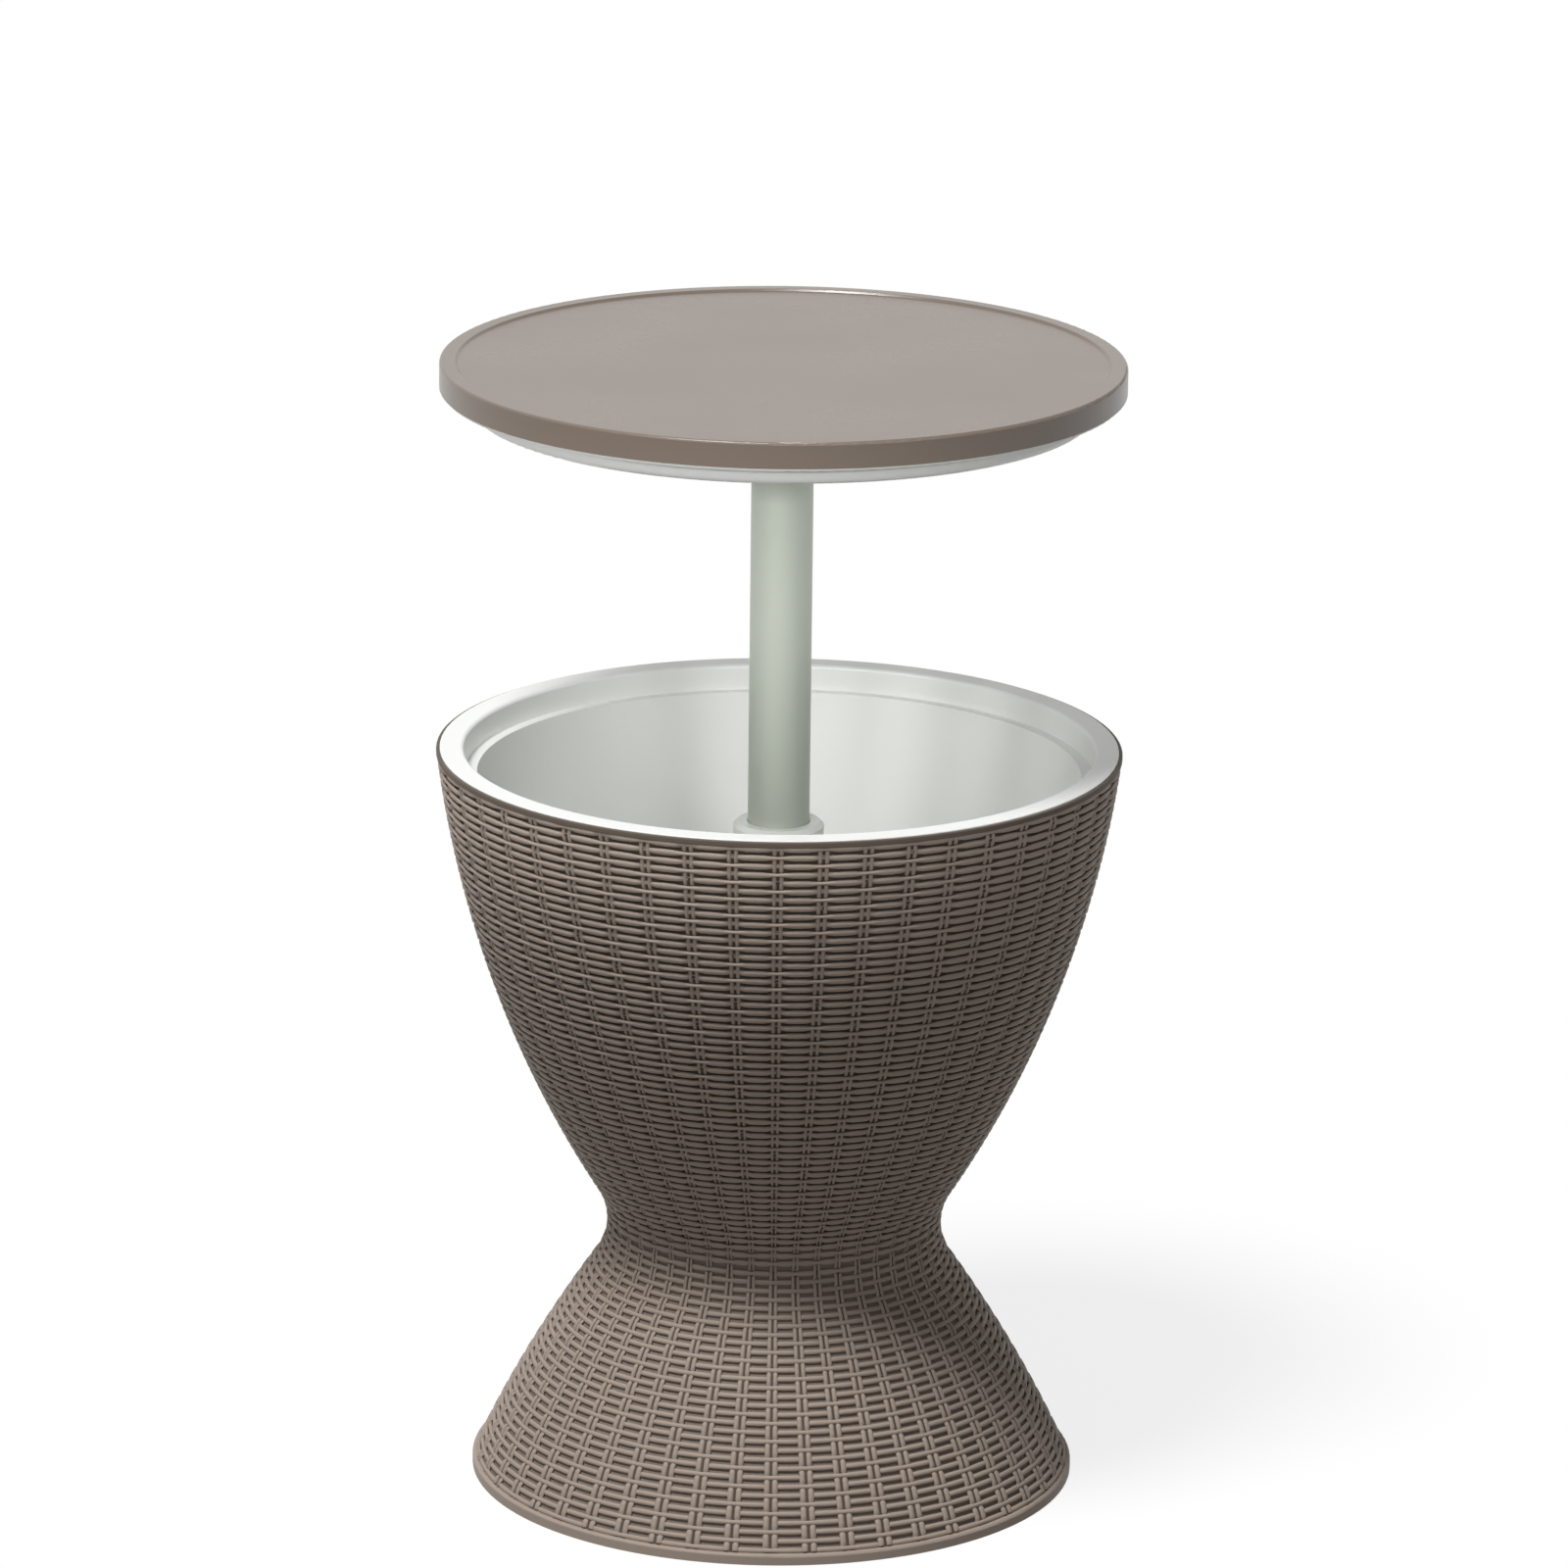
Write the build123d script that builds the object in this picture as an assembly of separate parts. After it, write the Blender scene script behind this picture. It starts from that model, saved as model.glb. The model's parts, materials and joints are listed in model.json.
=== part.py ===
from build123d import *
import math
import os

# Bar table with ice bucket: a round tabletop on a telescoping pole that rises out of
# a double-walled ice bucket on a flared foot. Millimetres, +Z up, origin on the floor
# under the centre of the foot. The tabletop is drawn raised.

# Outline of the stand
RIM_HEIGHT = 551.0
RIM_RADIUS = 249.5
WAIST_HEIGHT = 189.5
WAIST_RADIUS = 121.0
WAIST_BLEND = 56.6
BOWL_ARC = 800.0
SKIRT_ARC = 950.0
FOOT_RADIUS = 222.0
HEM_HEIGHT = 8.0
WEAVE_RELIEF = 2.2
SHELL_WALL = 3.0

# Rim of the shell
RIM_BAND = 5.0
RIM_EDGE = 0.8
LIP_WALL = 2.2
LIP_DROP = 1.0

# Foot of the skirt
HEM_STEP = 2.9
HEM_WALL = 11.0
HEM_EDGE = 2.0

# Main strands of the wicker: level rings on shell and skirt, and upright stakes on the skirt
RING_PITCH = 19.68
RING_START = 7.9
RING_WIDTH = 3.2
RING_CREST = 1.8
RING_RELIEF = 0.9
STAKE_COUNT = 48
STAKE_TURN = 1.6
STAKE_RELIEF = 1.4

# Waist plate of the shell and waist flange of the skirt, with ribs and a screw in every second bay
PLATE = 4.0
SKIRT_FLANGE_WIDTH = 36.0
RIB_COUNT = 8
RIB_WALL = 3.0
RIB_GAP = 8.0
RIB_ROOT = 10.0
SKIRT_RIB_DROP = 84.0
SHELL_RIB_RISE = 48.0
WAIST_SCREW_INSET = 23.0
WAIST_SCREW_SIZE = 6.0
BOSS_WALL = 4.0
BOSS_RISE = 14.0
BOSS_ROOF = 2.0

# Ice liner
FLANGE_WIDTH = 17.5
FLANGE_THICKNESS = 3.0
FLANGE_EDGE = 0.8
MOUTH_DRAFT = 1.5
MOUTH_EDGE = 3.0
LEDGE_WIDTH = 8.0
LEDGE_CLEARANCE = 4.5
LINER_WALL = 3.0
LINER_RISE = 70.0
LINER_CORNER = 16.0
COLUMN_DROP = 65.0
COLUMN_WALL = 3.0
COLUMN_DRAFT = 2.4

# Pole and guide tube
POLE_RADIUS = 22.5
POLE_WALL = 1.8
LIFT_TRAVEL = 265.4
GUIDE_WALL = 2.0
GUIDE_CLEARANCE = 2.5
GUIDE_FOOT = 12.0
BUSH_LENGTH = 30.0
BUSH_FLANGE = 3.0
WIPER_HEIGHT = 3.0
CAP_TOP = 3.0
CAP_WALL = 2.5
CAP_SKIRT = 16.0

# Guide flange under the waist plate
GUIDE_FLANGE_WIDTH = 14.0
GUIDE_FLANGE_THICKNESS = 5.0
GUIDE_SLEEVE_WALL = 5.0
GUIDE_SLEEVE_LENGTH = 34.0
GUIDE_SCREW_COUNT = 4
GUIDE_SCREW_SIZE = 4.0
GUIDE_PIN_SIZE = 5.0

# Twist lock on the foot of the pole
LOCK_CLEARANCE = 2.6
STUD_SIZE = 10.0
STUD_NUT_HEIGHT = 5.0
CONE_TRAVEL = 2.0
CONE_HEIGHT = 20.0
CONE_TAPER = 6.0
COLLAR_WALL = 4.4
COLLAR_HEAD = 8.0
COLLAR_SLOT = 2.0
COLLAR_SLOT_COUNT = 4
PLUG_SHOULDER = 5.0
PLUG_LENGTH = 27.0
PLUG_PIN_SIZE = 4.0
PLUG_PIN_DEPTH = 8.0

# Tabletop
TABLE_INSET = 2.0
TABLE_BAND = 18.8
TABLE_RING = 11.5
TABLE_RECESS = 1.5
TABLE_WALL = 3.5
TABLE_EDGE = 2.0
TABLE_RING_EDGE = 0.8
DISH_LIP = 2.5
DISH_LIP_INSET = 2.0
DISH_LIP_EDGE = 0.8
DISH_DEPTH = 14.5
DISH_TAPER = 2.0
DISH_WALL = 3.0
DISH_CORNER = 6.0
MOUTH_CLEARANCE = 2.5
LID_SCREW_COUNT = 8
LID_SCREW_INSET = 55.0
LID_SCREW_SIZE = 4.0
LID_SCREW_LENGTH = 16.0
LID_BOSS_WALL = 3.5

# Pole socket
SOCKET_PAD = 5.5
SOCKET_FLANGE = 4.0
SOCKET_FLANGE_WIDTH = 31.0
SOCKET_WALL = 4.5
SOCKET_TAIL = 13.0
SOCKET_SCREW_COUNT = 6
SOCKET_SCREW_SIZE = 4.0
POLE_BOLT_SIZE = 6.0
POLE_BOLT_DROP = 15.0

# Drain in the front bay
DRAIN_ANGLE = 270.0
DRAIN_BORE = 7.0
DRAIN_SLEEVE_WALL = 2.5
DRAIN_FLANGE_RADIUS = 13.0
DRAIN_FLANGE = 3.0
GASKET = 1.5
DRAIN_NUT_HEIGHT = 8.0
DRAIN_DROP = 8.0
STOPPER_LENGTH = 18.0
STOPPER_TAPER = 1.0
STOPPER_HEAD_RADIUS = 11.0
STOPPER_HEAD = 4.0
TAB_WIDTH = 16.0
TAB_HEIGHT = 15.0
TAB_WALL = 3.5

# Clearances, hexagons as multiples of their thread, and how far a cutter overshoots
FIT = 0.1
RUNNING = 0.3
SCREW_CLEARANCE = 0.3
HEX_ACROSS = 1.7
HEX_HEIGHT = 0.8
OVERSHOOT = 1.0

# Heights and radii of the stand
PLATE_TOP = WAIST_HEIGHT + PLATE
PLATE_BOTTOM = WAIST_HEIGHT - PLATE
BOSS_TOP = PLATE_TOP + BOSS_RISE
FLANGE_RADIUS = RIM_RADIUS - LIP_WALL - RUNNING
FLANGE_SEAT = RIM_HEIGHT - FLANGE_THICKNESS
MOUTH_RADIUS = FLANGE_RADIUS - FLANGE_WIDTH
LEDGE_HEIGHT = RIM_HEIGHT - DISH_DEPTH - LEDGE_CLEARANCE
LEDGE_OUTSIDE = MOUTH_RADIUS - MOUTH_DRAFT
LEDGE_INSIDE = LEDGE_OUTSIDE - LEDGE_WIDTH
LINER_FLOOR = WAIST_HEIGHT + LINER_RISE
LINER_UNDERSIDE = LINER_FLOOR - LINER_WALL
GUIDE_BORE = POLE_RADIUS + GUIDE_CLEARANCE
GUIDE_RADIUS = GUIDE_BORE + GUIDE_WALL
GUIDE_SLEEVE_BORE = GUIDE_RADIUS + FIT
GUIDE_SLEEVE_RADIUS = GUIDE_SLEEVE_BORE + GUIDE_SLEEVE_WALL
GUIDE_FLANGE_RADIUS = GUIDE_SLEEVE_RADIUS + GUIDE_FLANGE_WIDTH
GUIDE_FLANGE_FOOT = WAIST_HEIGHT - GUIDE_FLANGE_THICKNESS
GUIDE_SCREW_RADIUS = GUIDE_SLEEVE_RADIUS + GUIDE_FLANGE_WIDTH / 2
GUIDE_PIN_HEIGHT = WAIST_HEIGHT - (GUIDE_FLANGE_THICKNESS + GUIDE_SLEEVE_LENGTH) / 2
COLUMN_BORE = GUIDE_RADIUS + RUNNING
COLUMN_RADIUS = COLUMN_BORE + COLUMN_WALL
COLUMN_FOOT_RADIUS = COLUMN_RADIUS + COLUMN_DRAFT
COLUMN_TOP = RIM_HEIGHT - COLUMN_DROP
BUSH_TOP = COLUMN_TOP + BUSH_FLANGE
WIPER_TOP = BUSH_TOP + WIPER_HEIGHT
RIB_START = GUIDE_FLANGE_RADIUS + RIB_GAP
SKIRT_FLANGE_BORE = WAIST_RADIUS - SKIRT_FLANGE_WIDTH
WAIST_SCREW_RADIUS = WAIST_RADIUS - WAIST_SCREW_INSET

# Heights and radii of the raised tabletop
DISH_RIM = RIM_HEIGHT + RUNNING + LIFT_TRAVEL
BAND_FOOT = DISH_RIM + DISH_LIP
TABLE_HEIGHT = BAND_FOOT + TABLE_BAND
TABLE_RADIUS = RIM_RADIUS - TABLE_INSET
DISH_FLOOR = DISH_RIM - DISH_DEPTH
DISH_TOP = DISH_FLOOR + DISH_WALL
DISH_RADIUS = MOUTH_RADIUS - MOUTH_CLEARANCE
DECK_TOP = TABLE_HEIGHT - TABLE_RECESS
DECK_BOTTOM = DECK_TOP - TABLE_WALL
LID_SCREW_RADIUS = DISH_RADIUS - LID_SCREW_INSET
PAD_BOTTOM = DECK_BOTTOM - SOCKET_PAD
SOCKET_TOP = PAD_BOTTOM - SOCKET_FLANGE
SOCKET_BORE = POLE_RADIUS + FIT
SOCKET_RADIUS = SOCKET_BORE + SOCKET_WALL
SOCKET_FLANGE_RADIUS = SOCKET_RADIUS + SOCKET_FLANGE_WIDTH
SOCKET_SCREW_RADIUS = SOCKET_RADIUS + SOCKET_FLANGE_WIDTH / 2
BOLT_HEIGHT = DISH_FLOOR - POLE_BOLT_DROP
SOCKET_FOOT = BOLT_HEIGHT - SOCKET_TAIL

# Heights and radii of the twist lock
LOCK_FOOT = GUIDE_FOOT + LOCK_CLEARANCE + LIFT_TRAVEL
STUD_RADIUS = STUD_SIZE / 2
STUD_BORE = STUD_RADIUS + FIT
NUT_TOP = LOCK_FOOT + STUD_NUT_HEIGHT
CONE_FOOT = NUT_TOP + CONE_TRAVEL + RUNNING
CONE_TOP = CONE_FOOT + CONE_HEIGHT
COLLAR_RADIUS = GUIDE_BORE - RUNNING
CONE_FOOT_RADIUS = COLLAR_RADIUS - COLLAR_WALL - RUNNING
CONE_HEAD_RADIUS = CONE_FOOT_RADIUS - CONE_TAPER
COLLAR_TOP = CONE_TOP + COLLAR_HEAD
PLUG_FOOT = COLLAR_TOP + RUNNING
POLE_FOOT = PLUG_FOOT + PLUG_SHOULDER
PLUG_TOP = POLE_FOOT + PLUG_LENGTH
PLUG_PIN_HEIGHT = POLE_FOOT + PLUG_LENGTH / 2
PLUG_PIN_END = POLE_RADIUS - PLUG_PIN_DEPTH
STUD_TOP = PLUG_TOP - PLUG_SHOULDER
POLE_BORE = POLE_RADIUS - POLE_WALL
POLE_TOP = PAD_BOTTOM - RUNNING

# Heights and radii of the drain
GASKET_TOP = LINER_FLOOR + GASKET
DRAIN_SEAT = GASKET_TOP + DRAIN_FLANGE
DRAIN_SLEEVE = DRAIN_BORE + DRAIN_SLEEVE_WALL
DRAIN_NUT_FOOT = LINER_UNDERSIDE - DRAIN_NUT_HEIGHT
STOPPER_SEAT = DRAIN_SEAT + RUNNING
STOPPER_TOP = STOPPER_SEAT + STOPPER_HEAD


def at(radius, height):
    """Point in the half-plane that is turned about the Z axis."""
    return Vector(radius, 0, height)


def outline_face(*corners):
    """Face in the turning half-plane from (radius, height) corners."""
    return make_face(Polyline(*[at(*corner) for corner in corners], close=True))


def turned(*corners):
    """Solid turned about Z from (radius, height) corners."""
    return revolve(outline_face(*corners), Axis.Z)


def rounded(face, radius, height, fillet_radius):
    """Face with the corner nearest a point rounded off."""
    corner = face.vertices().sort_by_distance(at(radius, height))[0]
    return fillet(corner, fillet_radius)


def rod(radius, low, high):
    """Upright round rod on the Z axis."""
    return Pos(0, 0, (low + high) / 2) * Cylinder(radius, high - low)


def tube(outer, inner, low, high):
    """Upright round tube on the Z axis."""
    return turned((inner, low), (outer, low), (outer, high), (inner, high))


def hexagon(across_flats, low, high):
    """Upright six-sided prism on the Z axis."""
    return Pos(0, 0, low) * extrude(RegularPolygon(across_flats / 2, 6, major_radius=False), high - low)


def level_rod(radius, height, start, end):
    """Level round rod along X, from one distance from the Z axis to another."""
    return Pos((start + end) / 2, 0, height) * Rot(0, 90, 0) * Cylinder(radius, end - start)


def through_rod(radius, height, reach):
    """Level round rod along X that crosses the Z axis."""
    return level_rod(radius, height, -reach, reach)


def around(solid, count, radius=0.0, first=0.0):
    """Copies of a solid spaced evenly round the Z axis at a radius."""
    return [Rot(0, 0, first + 360 * index / count) * Pos(radius, 0, 0) * solid for index in range(count)]


def in_bays(solid):
    """Copies of a solid at the waist screws, one in every second bay between the ribs."""
    angles = [DRAIN_ANGLE + 360 * bay / RIB_COUNT for bay in range(1, RIB_COUNT, 2)]
    return [Rot(0, 0, angle) * Pos(WAIST_SCREW_RADIUS, 0, 0) * solid for angle in angles]


def at_guide_screws(solid):
    """Copies of a solid at the guide screws."""
    return around(solid, GUIDE_SCREW_COUNT, GUIDE_SCREW_RADIUS, 180 / GUIDE_SCREW_COUNT)


def at_lid_screws(solid):
    """Copies of a solid at the lid screws."""
    return around(solid, LID_SCREW_COUNT, LID_SCREW_RADIUS, 180 / LID_SCREW_COUNT)


def at_socket_screws(solid):
    """Copies of a solid at the socket screws."""
    return around(solid, SOCKET_SCREW_COUNT, SOCKET_SCREW_RADIUS, 180 / SOCKET_SCREW_COUNT)


def screw(size, seat, tip):
    """Upright screw with its hexagon head below the seat."""
    return hexagon(HEX_ACROSS * size, seat - HEX_HEIGHT * size, seat) + rod(size / 2, seat, tip)


def nut(size, low, high):
    """Upright hexagon nut on the Z axis."""
    return hexagon(HEX_ACROSS * size, low, high) - rod(size / 2 + FIT, low - OVERSHOOT, high + OVERSHOOT)


def arc(centre, start, end):
    """Arc about a centre, the short way from start to end."""
    outward = ((start + end) / 2 - centre).normalized()
    return ThreePointArc(start, centre + outward * (start - centre).length, end)


def inner_centre(first, first_radius, second, second_radius):
    """Of the two points at given distances from two others, the one nearer the axis."""
    between = second - first
    gap = between.length
    along = (first_radius**2 - second_radius**2 + gap**2) / (2 * gap)
    aside = math.sqrt(first_radius**2 - along**2)
    foot = first + between * (along / gap)
    offset = Vector(between.Z, 0, -between.X) * (aside / gap)
    return min([foot + offset, foot - offset], key=lambda point: point.X)


# Outline shared by shell, skirt and liner: a bowl arc and a skirt arc that both run
# smoothly into the hollow arc of the waist
BOWL_RIM = at(RIM_RADIUS - WEAVE_RELIEF, RIM_HEIGHT)
SKIRT_HEM = at(FOOT_RADIUS - HEM_STEP - WEAVE_RELIEF, HEM_HEIGHT)
WAIST_CENTRE = at(WAIST_RADIUS + WAIST_BLEND, WAIST_HEIGHT)
BOWL_CENTRE = inner_centre(BOWL_RIM, BOWL_ARC, WAIST_CENTRE, BOWL_ARC + WAIST_BLEND)
SKIRT_CENTRE = inner_centre(SKIRT_HEM, SKIRT_ARC, WAIST_CENTRE, SKIRT_ARC + WAIST_BLEND)


def bowl_at(height, inset):
    """Point of the bowl arc, moved inward by inset, at a height."""
    reach = BOWL_ARC - inset
    return at(BOWL_CENTRE.X + math.sqrt(reach**2 - (height - BOWL_CENTRE.Z) ** 2), height)


def skirt_at(height, inset):
    """Point of the skirt arc, moved inward by inset, at a height."""
    reach = SKIRT_ARC - inset
    return at(SKIRT_CENTRE.X + math.sqrt(reach**2 - (height - SKIRT_CENTRE.Z) ** 2), height)


def waist_at(height, inset):
    """Point of the waist arc, moved inward by inset, at a height."""
    reach = WAIST_BLEND + inset
    return at(WAIST_CENTRE.X - math.sqrt(reach**2 - (height - WAIST_HEIGHT) ** 2), height)


def wall_side(waist_height, far_point, centre, inset):
    """Edges of one side of a wall, from the waist to a far point on the arc about a centre."""
    meeting = WAIST_CENTRE + (centre - WAIST_CENTRE).normalized() * (WAIST_BLEND + inset)
    return [arc(WAIST_CENTRE, waist_at(waist_height, inset), meeting), arc(centre, meeting, far_point)]


def ringed_edges(centre, size, start, end):
    """Edges of a wall with level rings, along the arc about a centre from a start to an end point."""
    first = math.atan2(start.Z - centre.Z, start.X - centre.X)
    way = math.copysign(1, end.Z - start.Z)
    length = 2 * size * math.asin((end - start).length / 2 / size)
    section = (
        (-RING_WIDTH / 2, 0),
        (-RING_CREST / 2, RING_RELIEF),
        (RING_CREST / 2, RING_RELIEF),
        (RING_WIDTH / 2, 0),
    )
    corners = [start]
    for index in range(int((length - RING_START - RING_WIDTH) / RING_PITCH) + 1):
        middle = RING_START + index * RING_PITCH
        for aside, rise in section:
            angle = first + way * (middle + aside) / size
            reach = size + rise
            corners.append(at(centre.X + reach * math.cos(angle), centre.Z + reach * math.sin(angle)))
    return Polyline(*corners, end).edges()


def skirt_stakes():
    """Upright stakes on the outside of the skirt, from the waist to the hem."""
    root = SHELL_WALL / 2
    outer_foot = skirt_at(HEM_HEIGHT, -STAKE_RELIEF)
    inner_foot = skirt_at(HEM_HEIGHT, root)
    outside = wall_side(WAIST_HEIGHT, outer_foot, SKIRT_CENTRE, -STAKE_RELIEF)
    inside = wall_side(WAIST_HEIGHT, inner_foot, SKIRT_CENTRE, root)
    ends = [
        Line(waist_at(WAIST_HEIGHT, -STAKE_RELIEF), waist_at(WAIST_HEIGHT, root)),
        Line(outer_foot, inner_foot),
    ]
    stake = revolve(make_face(outside + inside + ends), Axis.Z, STAKE_TURN)
    return around(stake, STAKE_COUNT, 0, DRAIN_ANGLE - STAKE_TURN / 2)


def plate_edges(bore, height, inset):
    """Edges of a plate at the waist, from the inside of the wall round its bore to the outside."""
    return Polyline(
        waist_at(height, inset),
        at(bore, height),
        at(bore, WAIST_HEIGHT),
        waist_at(WAIST_HEIGHT, 0),
    ).edges()


def gussets(start, end, root, far_point, centre):
    """Ribs from a plate at the waist to a sloping end, trimmed to the middle of the wall."""
    inset = SHELL_WALL / 2
    reach = far_point.X
    blade = outline_face((start, WAIST_HEIGHT), (reach, WAIST_HEIGHT), (reach, end), (start, root))
    closing = Polyline(far_point, at(0, far_point.Z), at(0, WAIST_HEIGHT), waist_at(WAIST_HEIGHT, inset))
    core = revolve(make_face(wall_side(WAIST_HEIGHT, far_point, centre, inset) + closing.edges()), Axis.Z)
    blades = around(extrude(blade, RIB_WALL / 2, both=True), RIB_COUNT, 0, DRAIN_ANGLE + 180 / RIB_COUNT)
    return [blade & core for blade in blades]


# The drain stands midway between the column and the rounded corner of the liner floor
LINER_INSET = bowl_at(LEDGE_HEIGHT, 0).X - LEDGE_INSIDE
FLOOR_FLAT = bowl_at(LINER_FLOOR, LINER_INSET).X - LINER_CORNER
DRAIN_PLACE = Rot(0, 0, DRAIN_ANGLE) * Pos((COLUMN_FOOT_RADIUS + FLOOR_FLAT) / 2, 0, 0)


def waist_cuts():
    """Screw holes through the waist into the bosses, and the hole for the drain spout."""
    low = PLATE_BOTTOM - OVERSHOOT
    high = BOSS_TOP - BOSS_ROOF
    waist_holes = in_bays(rod(WAIST_SCREW_SIZE / 2 + FIT, low, high))
    guide_holes = at_guide_screws(rod(GUIDE_SCREW_SIZE / 2 + FIT, low, high))
    return waist_holes + guide_holes + [DRAIN_PLACE * rod(DRAIN_SLEEVE + RUNNING, low, high)]


def make_bucket_shell():
    """Outer bowl: waist plate, ribs, screw bosses, curved wall with level rings, and rim lip."""
    band_foot = RIM_HEIGHT - RIM_BAND
    lip_top = RIM_HEIGHT - LIP_DROP
    outer_top = bowl_at(band_foot, 0)
    inner_top = bowl_at(FLANGE_SEAT, SHELL_WALL)
    rim = Polyline(
        outer_top,
        at(RIM_RADIUS, band_foot),
        at(RIM_RADIUS, lip_top),
        at(RIM_RADIUS - LIP_WALL, lip_top),
        at(RIM_RADIUS - LIP_WALL, FLANGE_SEAT),
        inner_top,
    )
    waist, wall = wall_side(WAIST_HEIGHT, outer_top, BOWL_CENTRE, 0)
    outside = [waist] + ringed_edges(BOWL_CENTRE, BOWL_ARC, outer_top, wall @ 0)
    inside = wall_side(PLATE_TOP, inner_top, BOWL_CENTRE, SHELL_WALL)
    plate = plate_edges(COLUMN_BORE, PLATE_TOP, SHELL_WALL)
    profile = make_face(outside + rim.edges() + inside + plate)
    profile = rounded(profile, RIM_RADIUS, lip_top, RIM_EDGE)
    shell = revolve(rounded(profile, RIM_RADIUS, band_foot, RIM_EDGE), Axis.Z)
    rib_top = PLATE_TOP + SHELL_RIB_RISE
    rib_end = bowl_at(rib_top + SHELL_WALL, SHELL_WALL / 2)
    shell += gussets(RIB_START, rib_top, PLATE_TOP + RIB_ROOT, rib_end, BOWL_CENTRE)
    shell += in_bays(rod(WAIST_SCREW_SIZE / 2 + BOSS_WALL, WAIST_HEIGHT, BOSS_TOP))
    shell += at_guide_screws(rod(GUIDE_SCREW_SIZE / 2 + BOSS_WALL, WAIST_HEIGHT, BOSS_TOP))
    return shell - waist_cuts() - rod(COLUMN_BORE, WAIST_HEIGHT - OVERSHOOT, BOSS_TOP + OVERSHOOT)


def make_base_skirt():
    """Flared foot: waist flange, gusset ribs, curved wall with its main strands, and hem ring."""
    inner_foot = skirt_at(HEM_HEIGHT, SHELL_WALL)
    hem = Polyline(
        SKIRT_HEM,
        at(FOOT_RADIUS, HEM_HEIGHT),
        at(FOOT_RADIUS, 0),
        at(FOOT_RADIUS - HEM_WALL, 0),
        inner_foot,
    )
    waist, wall = wall_side(WAIST_HEIGHT, SKIRT_HEM, SKIRT_CENTRE, 0)
    outside = [waist] + ringed_edges(SKIRT_CENTRE, SKIRT_ARC, SKIRT_HEM, wall @ 0)
    inside = wall_side(PLATE_BOTTOM, inner_foot, SKIRT_CENTRE, SHELL_WALL)
    flange = plate_edges(SKIRT_FLANGE_BORE, PLATE_BOTTOM, SHELL_WALL)
    profile = make_face(outside + hem.edges() + inside + flange)
    skirt = revolve(rounded(profile, FOOT_RADIUS, HEM_HEIGHT, HEM_EDGE), Axis.Z)
    rib_foot = PLATE_BOTTOM - SKIRT_RIB_DROP
    rib_end = skirt_at(rib_foot - SHELL_WALL, SHELL_WALL / 2)
    skirt += gussets(SKIRT_FLANGE_BORE, rib_foot, PLATE_BOTTOM - RIB_ROOT, rib_end, SKIRT_CENTRE)
    skirt -= waist_cuts()
    return skirt + skirt_stakes()


def make_ice_liner():
    """White bucket: rim flange, stepped mouth, curved wall, floor and centre column."""
    under_ledge = LEDGE_HEIGHT - LINER_WALL
    mouth_outside = MOUTH_RADIUS + LINER_WALL
    inner_top = bowl_at(LEDGE_HEIGHT, LINER_INSET)
    inner_low = bowl_at(LINER_FLOOR, LINER_INSET)
    outer_top = bowl_at(under_ledge, LINER_INSET - LINER_WALL)
    outer_low = bowl_at(LINER_UNDERSIDE, LINER_INSET - LINER_WALL)
    floor_and_column = Polyline(
        outer_low,
        at(COLUMN_BORE, LINER_UNDERSIDE),
        at(COLUMN_BORE, COLUMN_TOP),
        at(COLUMN_RADIUS, COLUMN_TOP),
        at(COLUMN_FOOT_RADIUS, LINER_FLOOR),
        inner_low,
    )
    rim = Polyline(
        inner_top,
        at(LEDGE_OUTSIDE, LEDGE_HEIGHT),
        at(MOUTH_RADIUS, RIM_HEIGHT),
        at(FLANGE_RADIUS, RIM_HEIGHT),
        at(FLANGE_RADIUS, FLANGE_SEAT),
        at(mouth_outside, FLANGE_SEAT),
        at(mouth_outside - MOUTH_DRAFT, under_ledge),
        outer_top,
    )
    walls = [arc(BOWL_CENTRE, inner_low, inner_top), arc(BOWL_CENTRE, outer_top, outer_low)]
    profile = make_face(floor_and_column.edges() + rim.edges() + walls)
    profile = rounded(profile, inner_low.X, LINER_FLOOR, LINER_CORNER)
    profile = rounded(profile, outer_low.X, LINER_UNDERSIDE, LINER_CORNER + LINER_WALL)
    profile = rounded(profile, MOUTH_RADIUS, RIM_HEIGHT, MOUTH_EDGE)
    profile = rounded(profile, FLANGE_RADIUS, RIM_HEIGHT, FLANGE_EDGE)
    hole = rod(DRAIN_SLEEVE + FIT, LINER_UNDERSIDE - OVERSHOOT, LINER_FLOOR + OVERSHOOT)
    return revolve(profile, Axis.Z) - DRAIN_PLACE * hole


def make_guide_tube():
    """Tube in which the pole telescopes, drilled for the pins of the guide flange."""
    body = tube(GUIDE_RADIUS, GUIDE_BORE, GUIDE_FOOT, COLUMN_TOP)
    return body - through_rod(GUIDE_PIN_SIZE / 2 + FIT, GUIDE_PIN_HEIGHT, GUIDE_SLEEVE_RADIUS)


def make_guide_flange():
    """Sleeve with a flange that holds the guide tube under the waist plate."""
    sleeve_foot = WAIST_HEIGHT - GUIDE_SLEEVE_LENGTH
    body = turned(
        (GUIDE_SLEEVE_BORE, sleeve_foot),
        (GUIDE_SLEEVE_RADIUS, sleeve_foot),
        (GUIDE_SLEEVE_RADIUS, GUIDE_FLANGE_FOOT),
        (GUIDE_FLANGE_RADIUS, GUIDE_FLANGE_FOOT),
        (GUIDE_FLANGE_RADIUS, WAIST_HEIGHT),
        (GUIDE_SLEEVE_BORE, WAIST_HEIGHT),
    )
    hole = rod(
        GUIDE_SCREW_SIZE / 2 + SCREW_CLEARANCE, GUIDE_FLANGE_FOOT - OVERSHOOT, WAIST_HEIGHT + OVERSHOOT
    )
    pin_hole = through_rod(GUIDE_PIN_SIZE / 2 + FIT, GUIDE_PIN_HEIGHT, GUIDE_FLANGE_RADIUS)
    return body - at_guide_screws(hole) - pin_hole


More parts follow.
